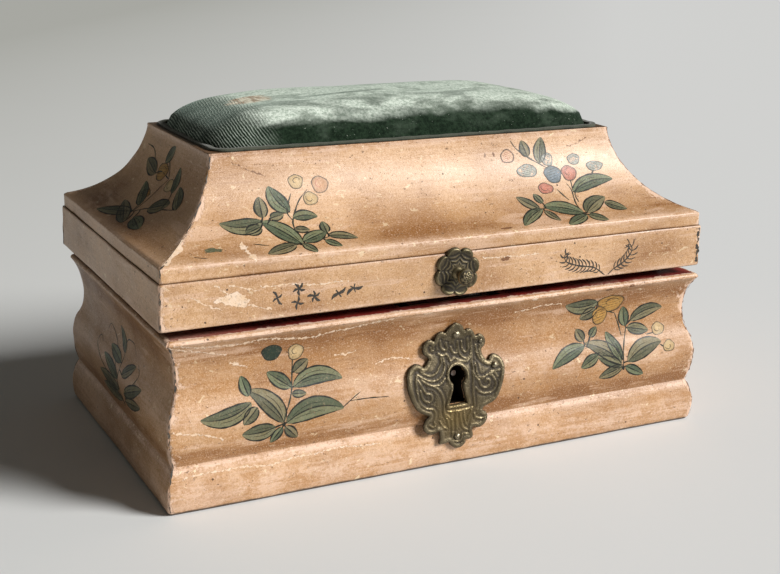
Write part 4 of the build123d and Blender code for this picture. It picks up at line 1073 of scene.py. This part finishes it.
# leaves: base along, base height, tip along, tip height, width, arch; blooms: along, height, half sizes, colour
sprigs = {
    "caseFrontLeft": {
        "board": "case", "side": "front",
        "stems": (((-65, 25.3), (-64.5, 28.2), (-62, 34.5), (-61, 38.3), (-60.5, 46.3), (-61.5, 48.4),
         (-63, 49.2)),),
        "twigs": (((-43.5, 28.2), (-40, 30.6), (-37, 32.4)), ((-41, 29.9), (-34, 29.8), (-26.5, 29.2))),
        "leaves": (
            (-76, 34.1, -93.5, 31.1, 5.9, 0.12), (-65, 26.1, -76.5, 37.9, 6.6, -0.1),
            (-76.5, 36.2, -78.5, 42.9, 3.6, 0), (-74, 32.4, -79, 27.4, 4.2, 0),
            (-68, 24.8, -79.5, 24, 5.7, 0.06), (-65.5, 24.4, -69.5, 19.4, 2.9, 0),
            (-64.5, 24.4, -60, 19.8, 3.3, 0), (-64, 25.7, -43.5, 27.8, 7.2, 0.14),
            (-60.5, 37, -43, 37.5, 5.9, 0.15), (-60, 41.7, -55, 45.5, 4.2, 0),
            (-61.5, 37, -69.5, 42.9, 4.6, 0), (-61.5, 34.9, -56.5, 34.5, 2.4, 0),
        ),
        "blooms": ((-68, 49.7, 3.6, 3, "dark"), (-59.5, 48.8, 2.9, 3, "cream")),
    },
    "coveFrontLeft": {
        "board": "cove", "side": "front",
        "stems": (
            ((-55, 84.1), (-54.5, 88.1), (-54, 89.8), (-52, 92.5), (-49.5, 95.5), (-46, 98.2)),
            ((-54, 89.8), (-55, 92.5), (-52, 97.5)), ((-65.5, 90.2), (-61.5, 88.6), (-54.5, 84.1)),
            ((-54.5, 84.1), (-49, 84.4), (-44, 85.1)),
        ),
        "twigs": (((-70.5, 85.1), (-65.5, 84.4)), ((-91.5, 83.6), (-87.5, 83.1))),
        "leaves": (
            (-64.5, 90.5, -79, 90.8, 6.2, 0.14), (-64, 91.3, -63.5, 97.2, 4.4, 0),
            (-54, 92.3, -59.5, 100.1, 6, 0.08), (-61.5, 91, -56.5, 91.8, 3.2, 0),
            (-65.5, 89, -71.5, 87.6, 4.3, 0), (-54.5, 84.1, -65, 90.3, 6.6, -0.08),
            (-56.5, 84.1, -67.5, 82.8, 4.6, 0), (-54, 84.1, -51, 82.2, 3.2, 0),
            (-53.5, 90.5, -45, 90.3, 3.9, 0.1), (-54.5, 87.6, -49.5, 87.1, 2.8, 0),
            (-53.5, 84.6, -44, 86.4, 4.9, 0), (-44, 86.1, -44, 88.9, 3.2, 0),
            (-44, 85.3, -34.5, 84.2, 3.4, 0.08), (-46, 84.4, -41.5, 82.9, 2.9, 0),
        ),
        "blooms": ((-49.5, 100.9, 2.8, 2.6, "cream"), (-41, 99.4, 3.2, 3.2, "pink"),
         (-45.5, 95.5, 2.8, 2.6, "cream")),
    },
    "coveFrontRight": {
        "board": "cove", "side": "front",
        "stems": (
            ((56, 84.4), (55.5, 87.1), (56.5, 91), (55.5, 93.3)), ((57, 87.6), (57.5, 90.3), (63.5, 94.7)),
            ((53.5, 88.3), (50.5, 91.8)), ((49, 98.9), (41.5, 103.1), (37.5, 106.1), (35.5, 108.9)),
            ((56, 84.4), (48, 86.6), (39.5, 86.6)), ((57, 90.5), (58, 95.7)), ((66, 94), (70, 97.7)),
        ),
        "twigs": (),
        "leaves": (
            (46.5, 100.6, 48.5, 109.4, 5, 0), (42, 102.9, 40, 108.7, 3.8, 0), (57, 90.5, 76, 93.5, 5.4, 0.1),
            (57.5, 84.6, 69, 88.3, 5.8, 0.08), (67.5, 86.8, 75, 84.6, 4.3, 0),
            (56, 84.6, 41.5, 87.1, 6.3, -0.08), (39.5, 86.6, 32.5, 90.5, 4, 0), (42, 88.1, 40, 91, 2.8, 0),
            (40.5, 86.6, 29, 83.1, 4.4, -0.06), (41, 86.1, 44.5, 83.4, 3, 0), (56.5, 84.1, 46.5, 82.4, 4.2, 0),
            (57.5, 84.1, 63.5, 82.6, 4.2, 0),
        ),
        "blooms": (
            (51, 96.5, 3.8, 3.6, "blue"), (58, 96.5, 3.4, 3.2, "red"), (46, 92.3, 3.3, 2.4, "red"),
            (33.5, 103.6, 2.9, 2.6, "outline"), (40.5, 98.3, 4.4, 2.6, "pale"), (50, 101.6, 2.6, 2.6, "pale"),
            (61.5, 101, 2.8, 2.2, "pale"), (70, 98.2, 3.8, 2, "pale"),
        ),
    },
    "caseFrontRight": {
        "board": "case", "side": "front",
        "stems": (
            ((71.5, 25.5), (71.5, 32.4), (73.5, 38.7), (74, 41)), ((71.5, 37.5), (70.5, 41.7), (68.5, 46.3)),
            ((71.5, 26.5), (63, 31.5), (54.5, 35.8)), ((60, 48.8), (66, 47.1), (68.5, 46.3)),
            ((88.5, 32.4), (90.5, 31)), ((83, 36.5), (88.5, 37)),
        ),
        "twigs": (),
        "leaves": (
            (60, 51.8, 46, 52, 5.6, 0.1), (60, 48.8, 53, 45.9, 4.2, 0), (73.5, 40.8, 72, 48.4, 4.4, 0),
            (76, 42.5, 90.5, 45.9, 5, 0.1), (74.5, 40, 84, 38, 4.2, 0), (54.5, 35.8, 40, 29.5, 5.3, -0.08),
            (54.5, 37.5, 51.5, 42.1, 3.8, 0), (57.5, 38.7, 60.5, 42, 2.9, 0), (60, 32, 52.5, 28.2, 4.2, 0),
            (70.5, 27.4, 55, 36.6, 6, -0.08), (70.5, 29, 64.5, 39.6, 4.5, 0), (70.5, 26.9, 60, 31.1, 3.6, 0),
            (71, 26.1, 61, 23.1, 4.2, 0), (72.5, 26.1, 81, 21.8, 3.4, 0), (73.5, 27.8, 89, 33.4, 7, 0.1),
        ),
        "blooms": (
            (66, 50.6, 6.2, 3.6, "ochre"), (61.6, 46.3, 3.5, 3.7, "ochre"), (88.5, 38, 3, 2.6, "cream"),
            (92.5, 31.4, 2.8, 2.4, "cream"),
        ),
    },
    "coveLeft": {
        "board": "cove", "side": "left",
        "stems": (
            ((-1, 86.6), (2, 93.7), (5.5, 98.2)), ((-1, 86.6), (-2, 89), (-5, 91)),
            ((5.5, 98.2), (1, 98.8), (-3, 99.2)), ((5.5, 98.2), (0, 102.6), (-4.5, 103.4)),
            ((-1, 86.6), (7, 89), (20, 91), (26.5, 92.3)), ((-15, 101.6), (-20, 104.4), (-27, 104.9)),
        ),
        "twigs": (),
        "leaves": (
            (-1, 86.6, -23.5, 83.4, 5, 0), (3.5, 84.1, -15, 87.6, 5.5, 0), (5, 85.8, 17.5, 84.8, 5.8, 0),
            (7, 89, 18.5, 92.7, 6, 0), (26.5, 92.3, 17.5, 97.7, 5.2, 0), (14.5, 95.2, 11, 103.1, 4.5, 0),
            (-8.5, 97.7, -22, 100.4, 5.4, 0), (-4.5, 102.4, 1, 108.3, 4.6, 0), (-1, 88.6, -12, 94.4, 5, 0),
        ),
        "blooms": ((-3, 99.2, 5, 3.6, "ochre"), (-6, 91.6, 5, 2.6, "ochre"), (9, 96.6, 3.5, 2.6, "cream")),
    },
    "caseLeft": {
        "board": "case", "side": "left",
        "stems": (
            ((11, 21.9), (-5.5, 26.1), (-18, 29), (-25, 33.4), (-23.5, 36.4), (-19.5, 35)),
            ((11, 21.9), (4, 26.5), (5, 35.4), (4.5, 42.2), (12.5, 43.4), (16, 40)),
            ((11, 21.9), (0.5, 30.7), (-5, 38.3), (-14.5, 42.8), (-18, 40)),
            ((11, 21.9), (19, 30.3), (23.5, 35.4), (20, 38.4)),
        ),
        "twigs": (),
        "leaves": (
            (9, 22.7, -16.5, 20.9, 4.2, 0), (6, 25.5, -19.5, 25, 4.4, 0), (4, 28.8, -15, 32.4, 4.2, 0),
            (8, 31.2, 18.5, 37.1, 4.2, 0), (11.5, 25.7, 29.5, 32.7, 4.4, 0), (4, 34.5, -10.5, 36.6, 4, 0),
            (12.5, 23.1, 30, 26.6, 3.7, 0), (5, 38, -3, 45.6, 3.6, 0),
        ),
        "blooms": (),
    },
}
pigments = {
    "leafLight": (0.2, 0.2, 0.115), "leafDark": (0.1, 0.115, 0.068), "line": (0.007, 0.01, 0.007),
    "stem": (0.025, 0.032, 0.02), "dark": (0.018, 0.038, 0.024), "cream": (0.62, 0.46, 0.25),
    "pink": (0.62, 0.37, 0.22), "red": (0.55, 0.2, 0.14), "blue": (0.13, 0.19, 0.25),
    "pale": (0.4, 0.45, 0.43), "ochre": (0.5, 0.28, 0.07), "outline": (0.55, 0.3, 0.2),
    "gesso": (0.86, 0.68, 0.53), "ink": (0.045, 0.04, 0.035), "stain": (0.22, 0.1, 0.045),
}
paintedBoards = {
    "case": (caseShape, caseLoops[0], "case"), "rail": (railShape, railLoops[0], "lid"),
    "cove": (coveShape, coveLoops[0], "lid"),
}
# cracks: width, pigment, cover, paths; blots: along, height, half sizes, pigment, seed, cover;
# corners: end, low, high, width, pigment
marks = {
    "rail": {
        "cracks": (
            (0.75, "gesso", 0.8, (
                ((-86.5, 75.3), (-84, 73), (-82.5, 71.9)), ((-82, 74.5), (-76, 73.1), (-72, 72.2)),
                ((-71.5, 73.3), (-63, 72.9), (-55.5, 71.9), (-47, 71.9), (-40.5, 71.4)),
                ((-94.5, 72.1), (-91, 69.9), (-84, 67.2)), ((-75.5, 67.5), (-71, 66), (-67, 65.5)),
                ((10, 74.6), (24, 73.2), (33, 73.9)),
            )),
            (1.6, "ink", 0.95, (((103.6, 63.2), (103.9, 67), (103.5, 71), (103.8, 76.2)),)),
        ),
        "blots": (
            (-80, 69.8, 4.6, 2.4, "gesso", 1, 1), (-84.5, 70.3, 2.6, 0.9, "gesso", 2, 1),
            (-76.3, 69.1, 1.6, 0.7, "gesso", 3, 1), (19.5, 73, 1.7, 0.9, "stain", 4, 0.75),
        ),
        "corners": ((-1, 62.6, 76.8, 0.5, "ink"),),
    },
    "cove": {
        "cracks": (
            (2.6, "gesso", 1, (((-74.5, 85.6), (-73.5, 83), (-72.3, 81.4)),)),
            (0.8, "stain", 0.6, (
                ((-71, 108.3), (-65.5, 105.8), (-59.5, 102.9)), ((59.5, 105.8), (64, 106.4), (68, 107.8)),
            )),
        ),
        "blots": (
            (24.5, 104.6, 0.5, 0.8, "stain", 2, 0.62), (28, 104.6, 0.5, 0.8, "stain", 3, 0.62),
            (21.5, 83, 2.2, 0.7, "stain", 4, 0.62), (-84.5, 84.6, 3.4, 1, "leafDark", 5, 0.62),
        ),
        "corners": ((-1, 82.6, 88, 3.4, "gesso"), (-1, 79, 110.6, 0.5, "ink"), (1, 82, 110, 0.4, "stain")),
    },
    "case": {
        "cracks": (
            (0.9, "gesso", 0.8, (
                ((-103.5, 56.8), (-94, 53.4), (-83, 51.3)), ((-45.5, 45.5), (-41, 45.3), (-37.5, 46.3)),
                ((-103, 28.6), (-95.5, 26.9), (-86, 23.6)),
            )),
            (1.05, "gesso", 0.8, ((
                (-102, 57.3), (-92, 55), (-83, 54.3), (-73, 55.2), (-63, 54.3), (-53, 53), (-46, 54.7),
                (-36.5, 55.1),
                (-24, 56.8),
            ),)),
            (1.2, "gesso", 0.8, (((-82.5, 48), (-79, 46.6), (-76.5, 46.3)),)),
            (0.75, "gesso", 0.8, (
                ((-100, 12), (-90, 13.1), (-70, 12), (-48, 13.4), (-30, 12.6)), ((24, 52), (34, 53.6), (44, 52.9)),
            )),
            (0.675, "gesso", 0.8, (((-30, 40.5), (-24, 41.4), (-17, 40.6)),)),
        ),
        "blots": (
            (63.5, 56.6, 1.5, 0.6, "stain", 4, 0.9), (73.5, 56.9, 1.5, 0.6, "stain", 5, 0.9),
            (-12, 56.8, 1.5, 0.6, "gesso", 6, 0.9), (31, 56.9, 1.5, 0.6, "gesso", 7, 0.9),
        ),
        "corners": ((-1, 1.5, 57.5, 0.6, "ink"), (1, 2, 56, 0.4, "stain")),
    },
}
birds = ((-65.5, 68.7), (-58, 70.9), (-58.5, 66.3), (-52.5, 67.8), (-44, 67.8), (-38.5, 69))
ferns = (
    ((62, 62.6), (57, 65.9), (50.5, 67.2), (45, 69.2), (44.2, 71.8), (46, 72.6)),
    ((63.5, 62.6), (66, 64.5), (70.5, 66.9), (73.5, 70.4), (72.5, 73), (70.6, 72.6)),
)


def ribbon(path, offsets):
    # Rows of points set off to the left of a path by the offsets given for each of its points
    way = np.gradient(path, axis=0)
    way /= np.maximum(np.linalg.norm(way, axis=1), 1e-9)[:, None]
    across = np.stack([-way[:, 1], way[:, 0]], -1)
    return path[:, None] + across[:, None] * offsets[..., None]


def rings(centre, a, b, t, angle, uneven):
    # Closed rings of an uneven oval, each a share t of its size
    return np.stack([centre[0] + a * t * uneven * np.cos(angle), centre[1] + b * t * uneven * np.sin(angle)], -1)


class PaintLayer:
    # Gathers patches laid on one face of one board and makes a single piece of them.
    # Flat places are (along, run), in which shapes keep their form; run is the length up the outline.
    def __init__(self, board, side):
        self.shape, self.outer, self.body = paintedBoards[board]
        self.side = side
        self.run = np.r_[0, np.cumsum(np.linalg.norm(np.diff(self.outer, axis=0), axis=1))]
        self.points, self.faces, self.tints, self.covers, self.total = [], [], [], [], 0

    def flat(self, points):
        p = np.asarray(points, float)
        return np.stack([p[:, 0], np.interp(p[:, 1], self.outer[:, 1], self.run)], -1)

    def limit(self, height, margin):
        # How far along the board its face reaches at a height
        return spans(self.shape, self.side)[0] / 2 - margin - insetAt(self.outer, height)

    def add(self, grid, tints, covers, lift, wrap=False):
        # The grid is rows by columns of flat places; what reaches past the board's corners is drawn in
        rows, columns = grid.shape[:2]
        height = np.interp(grid[..., 1], self.run, self.outer[:, 1])
        reach = self.limit(height, 0.25)
        along = np.clip(grid[..., 0], -reach, reach)
        self.points.append(surfacePoint(self.shape, self.outer, self.side, along, height, lift).reshape(-1, 3))
        self.faces += gridFaces(rows, columns, self.total, wrap)
        tints = np.array(pigments[tints]) if isinstance(tints, str) else tints
        self.tints.append(np.broadcast_to(tints, (rows, columns, 3)).reshape(-1, 3))
        self.covers.append(np.broadcast_to(covers, (rows, columns)).reshape(-1))
        self.total += rows * columns

    def stroke(self, flat, width, pigment, lift=0.07, cover=1.0, taper=True):
        path = evenly(smoothed(flat), 0.7)
        t = np.linspace(0, 1, len(path))
        wide = width * (np.sin(np.pi * (0.12 + 0.83 * t)) ** 0.6 if taper else np.ones(len(t)))
        wide = wide * (1 + 0.25 * np.sin(t * len(path) * 0.9 + flat[0][0]))
        grid = ribbon(path, wide[:, None] * np.array([-0.5, -0.3, 0.3, 0.5]))
        self.add(grid, pigment, np.array([0.25, 1.0, 1.0, 0.25]) * cover, lift)

    def crack(self, width, pigment, cover, points):
        # Jagged flake line: short straight steps thrown off the path, of uneven width
        path = evenly(self.flat(points), 1.1)
        number = np.arange(len(path))
        throw = [np.sin(number * k + points[0][0]) * np.cos(number * k * 0.37 + 2.0) for k in (2.9, 4.3)]
        path = evenly(path + 0.55 * np.stack(throw, -1), 0.35)
        number = np.arange(len(path))
        uneven = 0.6 * np.sin(number * 0.63 + points[0][1]) * np.sin(number * 0.23) + 0.3 * np.sin(number * 1.7)
        wide = width * np.clip(0.55 + uneven, 0.15, 1.5)
        grid = ribbon(path, wide[:, None] * np.array([-0.5, 0, 0.5]))
        self.add(grid, pigment, np.array([0.45, 1, 0.45]) * cover, 0.035)

    def corner(self, end, low, high, width, pigment):
        # Dirt line that runs up an arris: it breaks off where the wave of several sines falls below a level
        height = np.arange(low, high, 0.5)
        along = end * (self.limit(height, 0.62) + 0.12 * np.sin(height * 1.3 + low) + 0.1 * np.sin(height * 3.1))
        wide = width * np.clip(0.6 + 0.5 * np.sin(height * 0.9 + low) + 0.5 * np.sin(height * 2.3), 0.2, 1.4)
        along = along[:, None] + wide[:, None] * np.array([0.5, 0, -0.5])
        run = np.interp(height, self.outer[:, 1], self.run)[:, None]
        fade = np.clip(0.75 + 0.5 * np.sin(height * 0.45 + low) + 0.3 * np.sin(height * 1.9), 0, 1)[:, None]
        grid = np.stack([along, np.broadcast_to(run, along.shape)], -1)
        self.add(grid, pigment, fade * np.array([0.6, 1.0, 0.6]), 0.05)

    def leaf(self, bx, bz, tx, tz, width, arch, order):
        # Half width = width / 2 * sin(pi * t^0.85)^0.66, bent by the arch; dark rim and midrib, one half in shade
        base, tip = self.flat([(bx, bz), (tx, tz)])
        way = tip - base
        length = np.linalg.norm(way)
        side = np.array([-way[1], way[0]]) / length
        t = np.linspace(0, 1, 18)
        spine = base + way * t[:, None] + side * (4 * arch * length * t * (1 - t))[:, None]
        half = 0.5 * width * np.sin(np.pi * np.clip(t, 0.004, 0.996) ** 0.85) ** 0.66 + 0.14
        rim = np.clip(0.42 / (0.5 * width), 0.1, 0.3)
        s = np.array([-1, -1 + 0.4 * rim, -1 + rim, -0.45, -0.12, 0, 0.12, 0.45, 1 - rim, 1 - 0.4 * rim, 1])
        ruffle = 1 + 0.05 * np.sin(t * 14 + order)[:, None] * np.sign(s)
        light, dark, ink = (np.array(pigments[k]) for k in ("leafLight", "leafDark", "line"))
        lower, upper = (light, dark) if order % 2 else (dark, light)
        row = np.stack([ink, ink, lower, lower, lower, ink, upper, upper, upper, ink, ink])
        row = row * np.array([1 + 0.16 * math.sin(order * 2.3), 1.0, 1.0])
        covers = np.array([0.5, 1.2, 1.0, 0.75, 0.8, 1, 0.8, 0.75, 1.0, 1.2, 0.5])
        self.add(ribbon(spine, half[:, None] * ruffle * s), row, covers, 0.045 + 0.002 * order)
        # rim, midrib and, on a large leaf, a vein on each half
        lines = [(half - 0.1, slice(1, -1, 2), 0.56, 0.09, 1.35), (0.1 - half, slice(1, -1, 2), 0.56, 0.09, 1.35)]
        lines.append((0 * half, slice(None, -3, 2), 0.4, 0.09, 1.35))
        if width > 4 and length > 8:
            vein = 0.42 * half * np.sin(np.pi * t) ** 0.5
            lines += [(flip * vein, slice(2, -4, 3), 0.24, 0.1, 0.62) for flip in (1, -1)]
        for offset, part, wide, lift, cover in lines:
            self.stroke(ribbon(spine, offset[:, None])[part, 0], wide, "line", lift, cover)

    def bloom(self, along, height, a, b, pigment, order):
        # Round flower: an uneven disc of rings with an ink edge, hatching on some kinds and a curl inside
        centre = self.flat([(along, height)])[0]
        angle = roundAbout(30)
        t = np.array([0.02, 0.3, 0.55, 0.78, 0.86, 0.94, 1.0])[:, None]
        uneven = 1 + 0.05 * np.sin(3 * angle + order) + 0.03 * np.sin(5 * angle)
        fill, ink = np.array(pigments[pigment]), np.array(pigments["line"])
        body = np.array([1.1, 1.0, 0.92, 0.85])[:, None] * fill
        tints = np.concatenate([body, [0.55 * fill + 0.45 * ink, ink, ink]])[:, None]
        inner = {"outline": 0.0, "pale": 0.45, "red": 0.62, "blue": 0.7}.get(pigment, 0.95)
        covers = [inner] * 4 + [0.9, 0.9, 0.1]
        if pigment in ("cream", "pink", "ochre"):
            covers = [0.9, 0.9, 0.85, 0.8, 0.6, 0.62, 0.1]
        grid = rings(centre, a, b, t, angle, uneven)
        self.add(grid, tints, np.array(covers)[:, None], 0.05 + 0.002 * order, wrap=True)
        if pigment in ("pale", "blue", "outline", "ochre"):
            for level in (-0.55, -0.25, 0.05, 0.35, 0.62):
                reach = 0.8 * math.sqrt(1 - level * level)
                hatch = np.array([(k * reach + 0.3 * level, level + 0.18 * k) for k in (-1, 0, 0.9)])
                self.stroke(centre + hatch * (a, b), 0.2, "red" if pigment == "outline" else "line", 0.08, 0.5)
        if pigment in ("red", "cream", "pink", "ochre"):
            turn = np.linspace(0.4, 4.6, 12)
            curl = rings(centre, a, b, 0.7 - 0.12 * turn, turn + order, 1.0)
            self.stroke(curl, 0.26, "red" if pigment == "pink" else "line", 0.08, 0.75)

    def blot(self, along, height, a, b, pigment, seed, cover=1.0, lift=0.04):
        # Ragged flake: radius = 1 + several waves of different number round it
        angle, t = roundAbout(48), np.array([0.02, 0.5, 0.8, 1.0])[:, None]
        ragged = 1 + sum(0.28 / k**0.7 * np.sin(k * angle + seed * (k + 1.3)) for k in (2, 3, 5, 8, 13))
        grid = rings(self.flat([(along, height)])[0], a, b, t, angle, ragged)
        self.add(grid, pigment, np.array([1.0, 1.0, 0.9, 0.3])[:, None] * cover, lift, wrap=True)

    def finish(self, name, material):
        obj = meshFrom(name, np.concatenate(self.points), flipped(self.faces), self.body, smoothAngle=0)
        tints = np.concatenate(self.tints)
        layer = obj.data.color_attributes.new("tint", "FLOAT_COLOR", "POINT")
        layer.data.foreach_set("color", np.c_[tints, np.ones(len(tints))].astype(np.float32).ravel())
        setAttribute(obj, "cover", np.concatenate(self.covers))
        dress(obj, material)
        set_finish(obj, "painted_wood")


def brushMaterial():
    # Thin old paint: its colour varies and it is rubbed away in specks where cover is low
    material, shader, at = newMaterial("brushPaint", Coat_Weight=0.12, Coat_Roughness=0.28, Specular_IOR_Level=0.4)
    fine, patch = noise(at, 1300, 3, 0.7), noise(at, 330, 4, 0.65)
    cover = attribute(at, "cover")
    color = mixed(patch.ramp(0.3, 0.72), attribute(at, "tint", "Color"), (0.9, 0.8, 0.66), "MULTIPLY")
    color = mixed(fine.ramp(0.52, 0.72) * 0.3 * cover.ramp(0.8, 1.0, 1.0, 0.4), color, (0.5, 0.36, 0.22))
    color = mixed(fine.ramp(0.46, 0.3) * 0.45, color, (0.03, 0.03, 0.02))
    alpha = (cover + ((fine - 0.5) * 1.3 + (patch - 0.5) * 1.3)).ramp(0.25, 0.55)
    wire(shader, Base_Color=color, Alpha=alpha, Roughness=patch.ramp(0.3, 0.7, 0.42, 0.56))
    bumped(shader, fine, 0.00012)
    return material


def paintSprig(layer, sprig):
    stems = [layer.flat(stem) for stem in sprig["stems"]]
    for stem in stems:
        layer.stroke(stem, 0.55, "stem", 0.05)
    for twig in sprig["twigs"]:
        layer.stroke(layer.flat(twig), 0.4, "line", 0.05)
    for number, values in enumerate(sprig["leaves"]):
        layer.leaf(*values, number)
    # short stalks from each leaf's base to the nearest stem
    joints = np.concatenate([evenly(smoothed(stem), 0.5) for stem in stems])
    for values in sprig["leaves"]:
        base = layer.flat([values[:2]])[0]
        near = joints[np.argmin(np.linalg.norm(joints - base, axis=1))]
        gap = float(np.linalg.norm(near - base))
        if 0.4 < gap < 7:
            middle = 0.5 * (base + near) + 0.08 * gap
            layer.stroke(np.array([base, middle, near]), 0.6, "line", 0.085, 1.35, taper=False)
    root = min((point for stem in sprig["stems"] for point in stem), key=lambda point: point[1])
    layer.blot(*root, 0.75, 0.6, "line", 1.3, 1.2, 0.09)
    for number, values in enumerate(sprig["blooms"]):
        layer.bloom(*values, number)


def paintBirds(layer):
    # little bird marks: four or five short fat strokes from a point
    for number, place in enumerate(birds):
        rays = 4 + number % 2
        for ray in range(rays):
            turn = math.radians(ray * 360 / rays + 23 * number + 20)
            reach = (2.7 if ray % 2 else 1.9) * (1 + 0.2 * math.sin(3.1 * ray + number))
            path = np.array([(share * math.cos(turn + bend), share * math.sin(turn + bend))
                             for share, bend in ((0, 0), (0.6, 0), (1, 0.25))])
            layer.stroke(layer.flat(np.array(place) + reach * path), 1.05, "ink", 0.05, 1.1)


def paintFerns(layer):
    # two ferns leaning apart
    for stem in ferns:
        layer.stroke(layer.flat(stem), 0.6, "ink", 0.05)
        spine = evenly(smoothed(stem), 1.5)
        way = np.gradient(spine, axis=0)
        for number in range(2, len(spine) - 1):
            p, w = spine[number], way[number] / np.linalg.norm(way[number])
            reach = 2.6 * math.sin(math.pi * (0.15 + 0.75 * number / len(spine)))
            for flip in (-1, 1):
                out = np.array([-w[1], w[0]]) * flip
                path = np.array([p, p + 0.6 * reach * (out + 0.5 * w), p + reach * (out + w)])
                layer.stroke(layer.flat(path), 0.56, "ink", 0.055, 0.95)


brush = brushMaterial()
for name, sprig in sprigs.items():
    layer = PaintLayer(sprig["board"], sprig["side"])
    paintSprig(layer, sprig)
    layer.finish("sprig" + name[0].upper() + name[1:], brush)
for board, kinds in marks.items():
    layer = PaintLayer(board, "front")
    if board == "rail":
        paintBirds(layer)
        paintFerns(layer)
    for *style, paths in kinds["cracks"]:
        for path in paths:
            layer.crack(*style, path)
    for values in kinds["blots"]:
        layer.blot(*values)
    for values in kinds["corners"]:
        layer.corner(*values)
    layer.finish(board + "Marks", brush)
print("paint laid on")


def woodMaterial(name, pale, dark, gloss):
    # Grain lines along X made of stretched noise, with dirt in broad patches
    material, shader, at = newMaterial(name, Specular_IOR_Level=0.3)
    lines, patch, fine = noise(at, (30, 700, 700), 4, 0.6), noise(at, 60, 4, 0.6), noise(at, 900, 3, 0.7)
    color = mixed((lines * 0.7 + patch * 0.3).ramp(0.35, 0.65), pale, dark)
    color = mixed(fine.ramp(0.6, 0.8) * 0.3, color, (0.7, 0.5, 0.42))
    wire(shader, Base_Color=color, Roughness=patch.ramp(0.3, 0.7, gloss - 0.08, gloss + 0.1))
    bumped(shader, lines + fine * 0.4, 0.0002)
    return material


# finishes of the pieces that keep their CAD shapes, by slot
topWood = woodMaterial("topBoardWood", (0.12, 0.07, 0.035), (0.05, 0.03, 0.017), 0.45)
slotMaterials = {
    "bare_wood": woodMaterial("bareWood", (0.42, 0.26, 0.13), (0.26, 0.14, 0.065), 0.7),
    "red_wood": woodMaterial("redWood", (0.36, 0.035, 0.022), (0.2, 0.02, 0.015), 0.5),
    "steel": metalMaterial(
        "lockSteel", 0.55, Dark=(0.03, 0.025, 0.022), Metal=(0.3, 0.29, 0.28), Tarnish=(0.16, 0.1, 0.07),
    ),
    "old_brass": metalMaterial(
        "hingeBrass", 0.5, Dark=(0.05, 0.035, 0.015), Metal=(0.36, 0.27, 0.12), Tarnish=(0.2, 0.14, 0.06),
    ),
    "painted_wood": casePaint,
}
for name, obj in nodes.items():
    if obj.hide_render:
        continue
    slot = obj.get("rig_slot") or obj.material_slots[0].material.name.split(".")[0]
    for one in obj.material_slots:
        one.material = topWood if name == "lid_top_board" else slotMaterials[slot]
print("kept pieces dressed")

view = {
    "lens": 62.204, "sensor": 36.0, "place": (-0.22418, -0.44126, 0.19234),
    "azimuth": -27.32, "elevation": 16.14, "roll": 1.22,
}


def makeCamera():
    az, el, roll = (math.radians(view[k]) for k in ("azimuth", "elevation", "roll"))
    back = Vector((math.sin(az) * math.cos(el), -math.cos(az) * math.cos(el), math.sin(el)))
    right = Vector((math.cos(az), math.sin(az), 0.0))
    up = back.cross(right)
    turnedRight = math.cos(roll) * right + math.sin(roll) * up
    turnedUp = -math.sin(roll) * right + math.cos(roll) * up
    data = bpy.data.cameras.new("camera")
    data.lens, data.sensor_width = view["lens"], view["sensor"]
    camera = linked("camera", data)
    matrix = Matrix((turnedRight, turnedUp, back)).transposed().to_4x4()
    matrix.translation = view["place"]
    camera.matrix_world = matrix
    bpy.context.scene.camera = camera


studio = {
    "keyFrom": (0.66, -0.58, 0.55), "keyStrength": 4.7, "keySoftness": 24.0, "keyColor": (1.0, 0.985, 0.965),
    "ambient": 0.085, "ambientColor": (1.0, 0.95, 0.86), "floorSize": 6, "floor": (0.735, 0.75, 0.755),
    # far is the floor's colour in its painted shade at the far left
    "far": (0.45, 0.46, 0.435),
}


def makeLight():
    s = studio
    data = bpy.data.lights.new("keyLight", "SUN")
    data.energy, data.angle, data.color = s["keyStrength"], math.radians(s["keySoftness"]), s["keyColor"]
    linked("keyLight", data).rotation_euler = Vector(s["keyFrom"]).to_track_quat("Z", "Y").to_euler()
    world = bpy.data.worlds.new("world")
    world.use_nodes = True
    wire(world.node_tree.nodes["Background"], s["ambientColor"], s["ambient"])
    bpy.context.scene.world = world


def makeFloor():
    half = studio["floorSize"]
    mesh = bpy.data.meshes.new("floor")
    mesh.from_pydata([(-half, -half, 0), (half, -half, 0), (half, half, 0), (-half, half, 0)], [], [[0, 1, 2, 3]])
    floor = linked("floor", mesh)
    # painted shade: the floor's colour grows darker towards the far left, where the light falls off
    material, shader, at = newMaterial("floorPaper", Roughness=0.9, Specular_IOR_Level=0.1)
    x, y, _ = axes(at)
    away = (y * 0.55 - x * 0.75 + noise(at, 7, 3, 0.5) * 0.02).ramp(-0.08, 0.68, kind="LINEAR")
    wire(shader, Base_Color=mixed(away, studio["floor"], studio["far"]))
    dress(floor, material)


makeCamera()
makeLight()
makeFloor()
bpy.context.scene.view_settings.view_transform = "Standard"
print("camera, light and floor set")
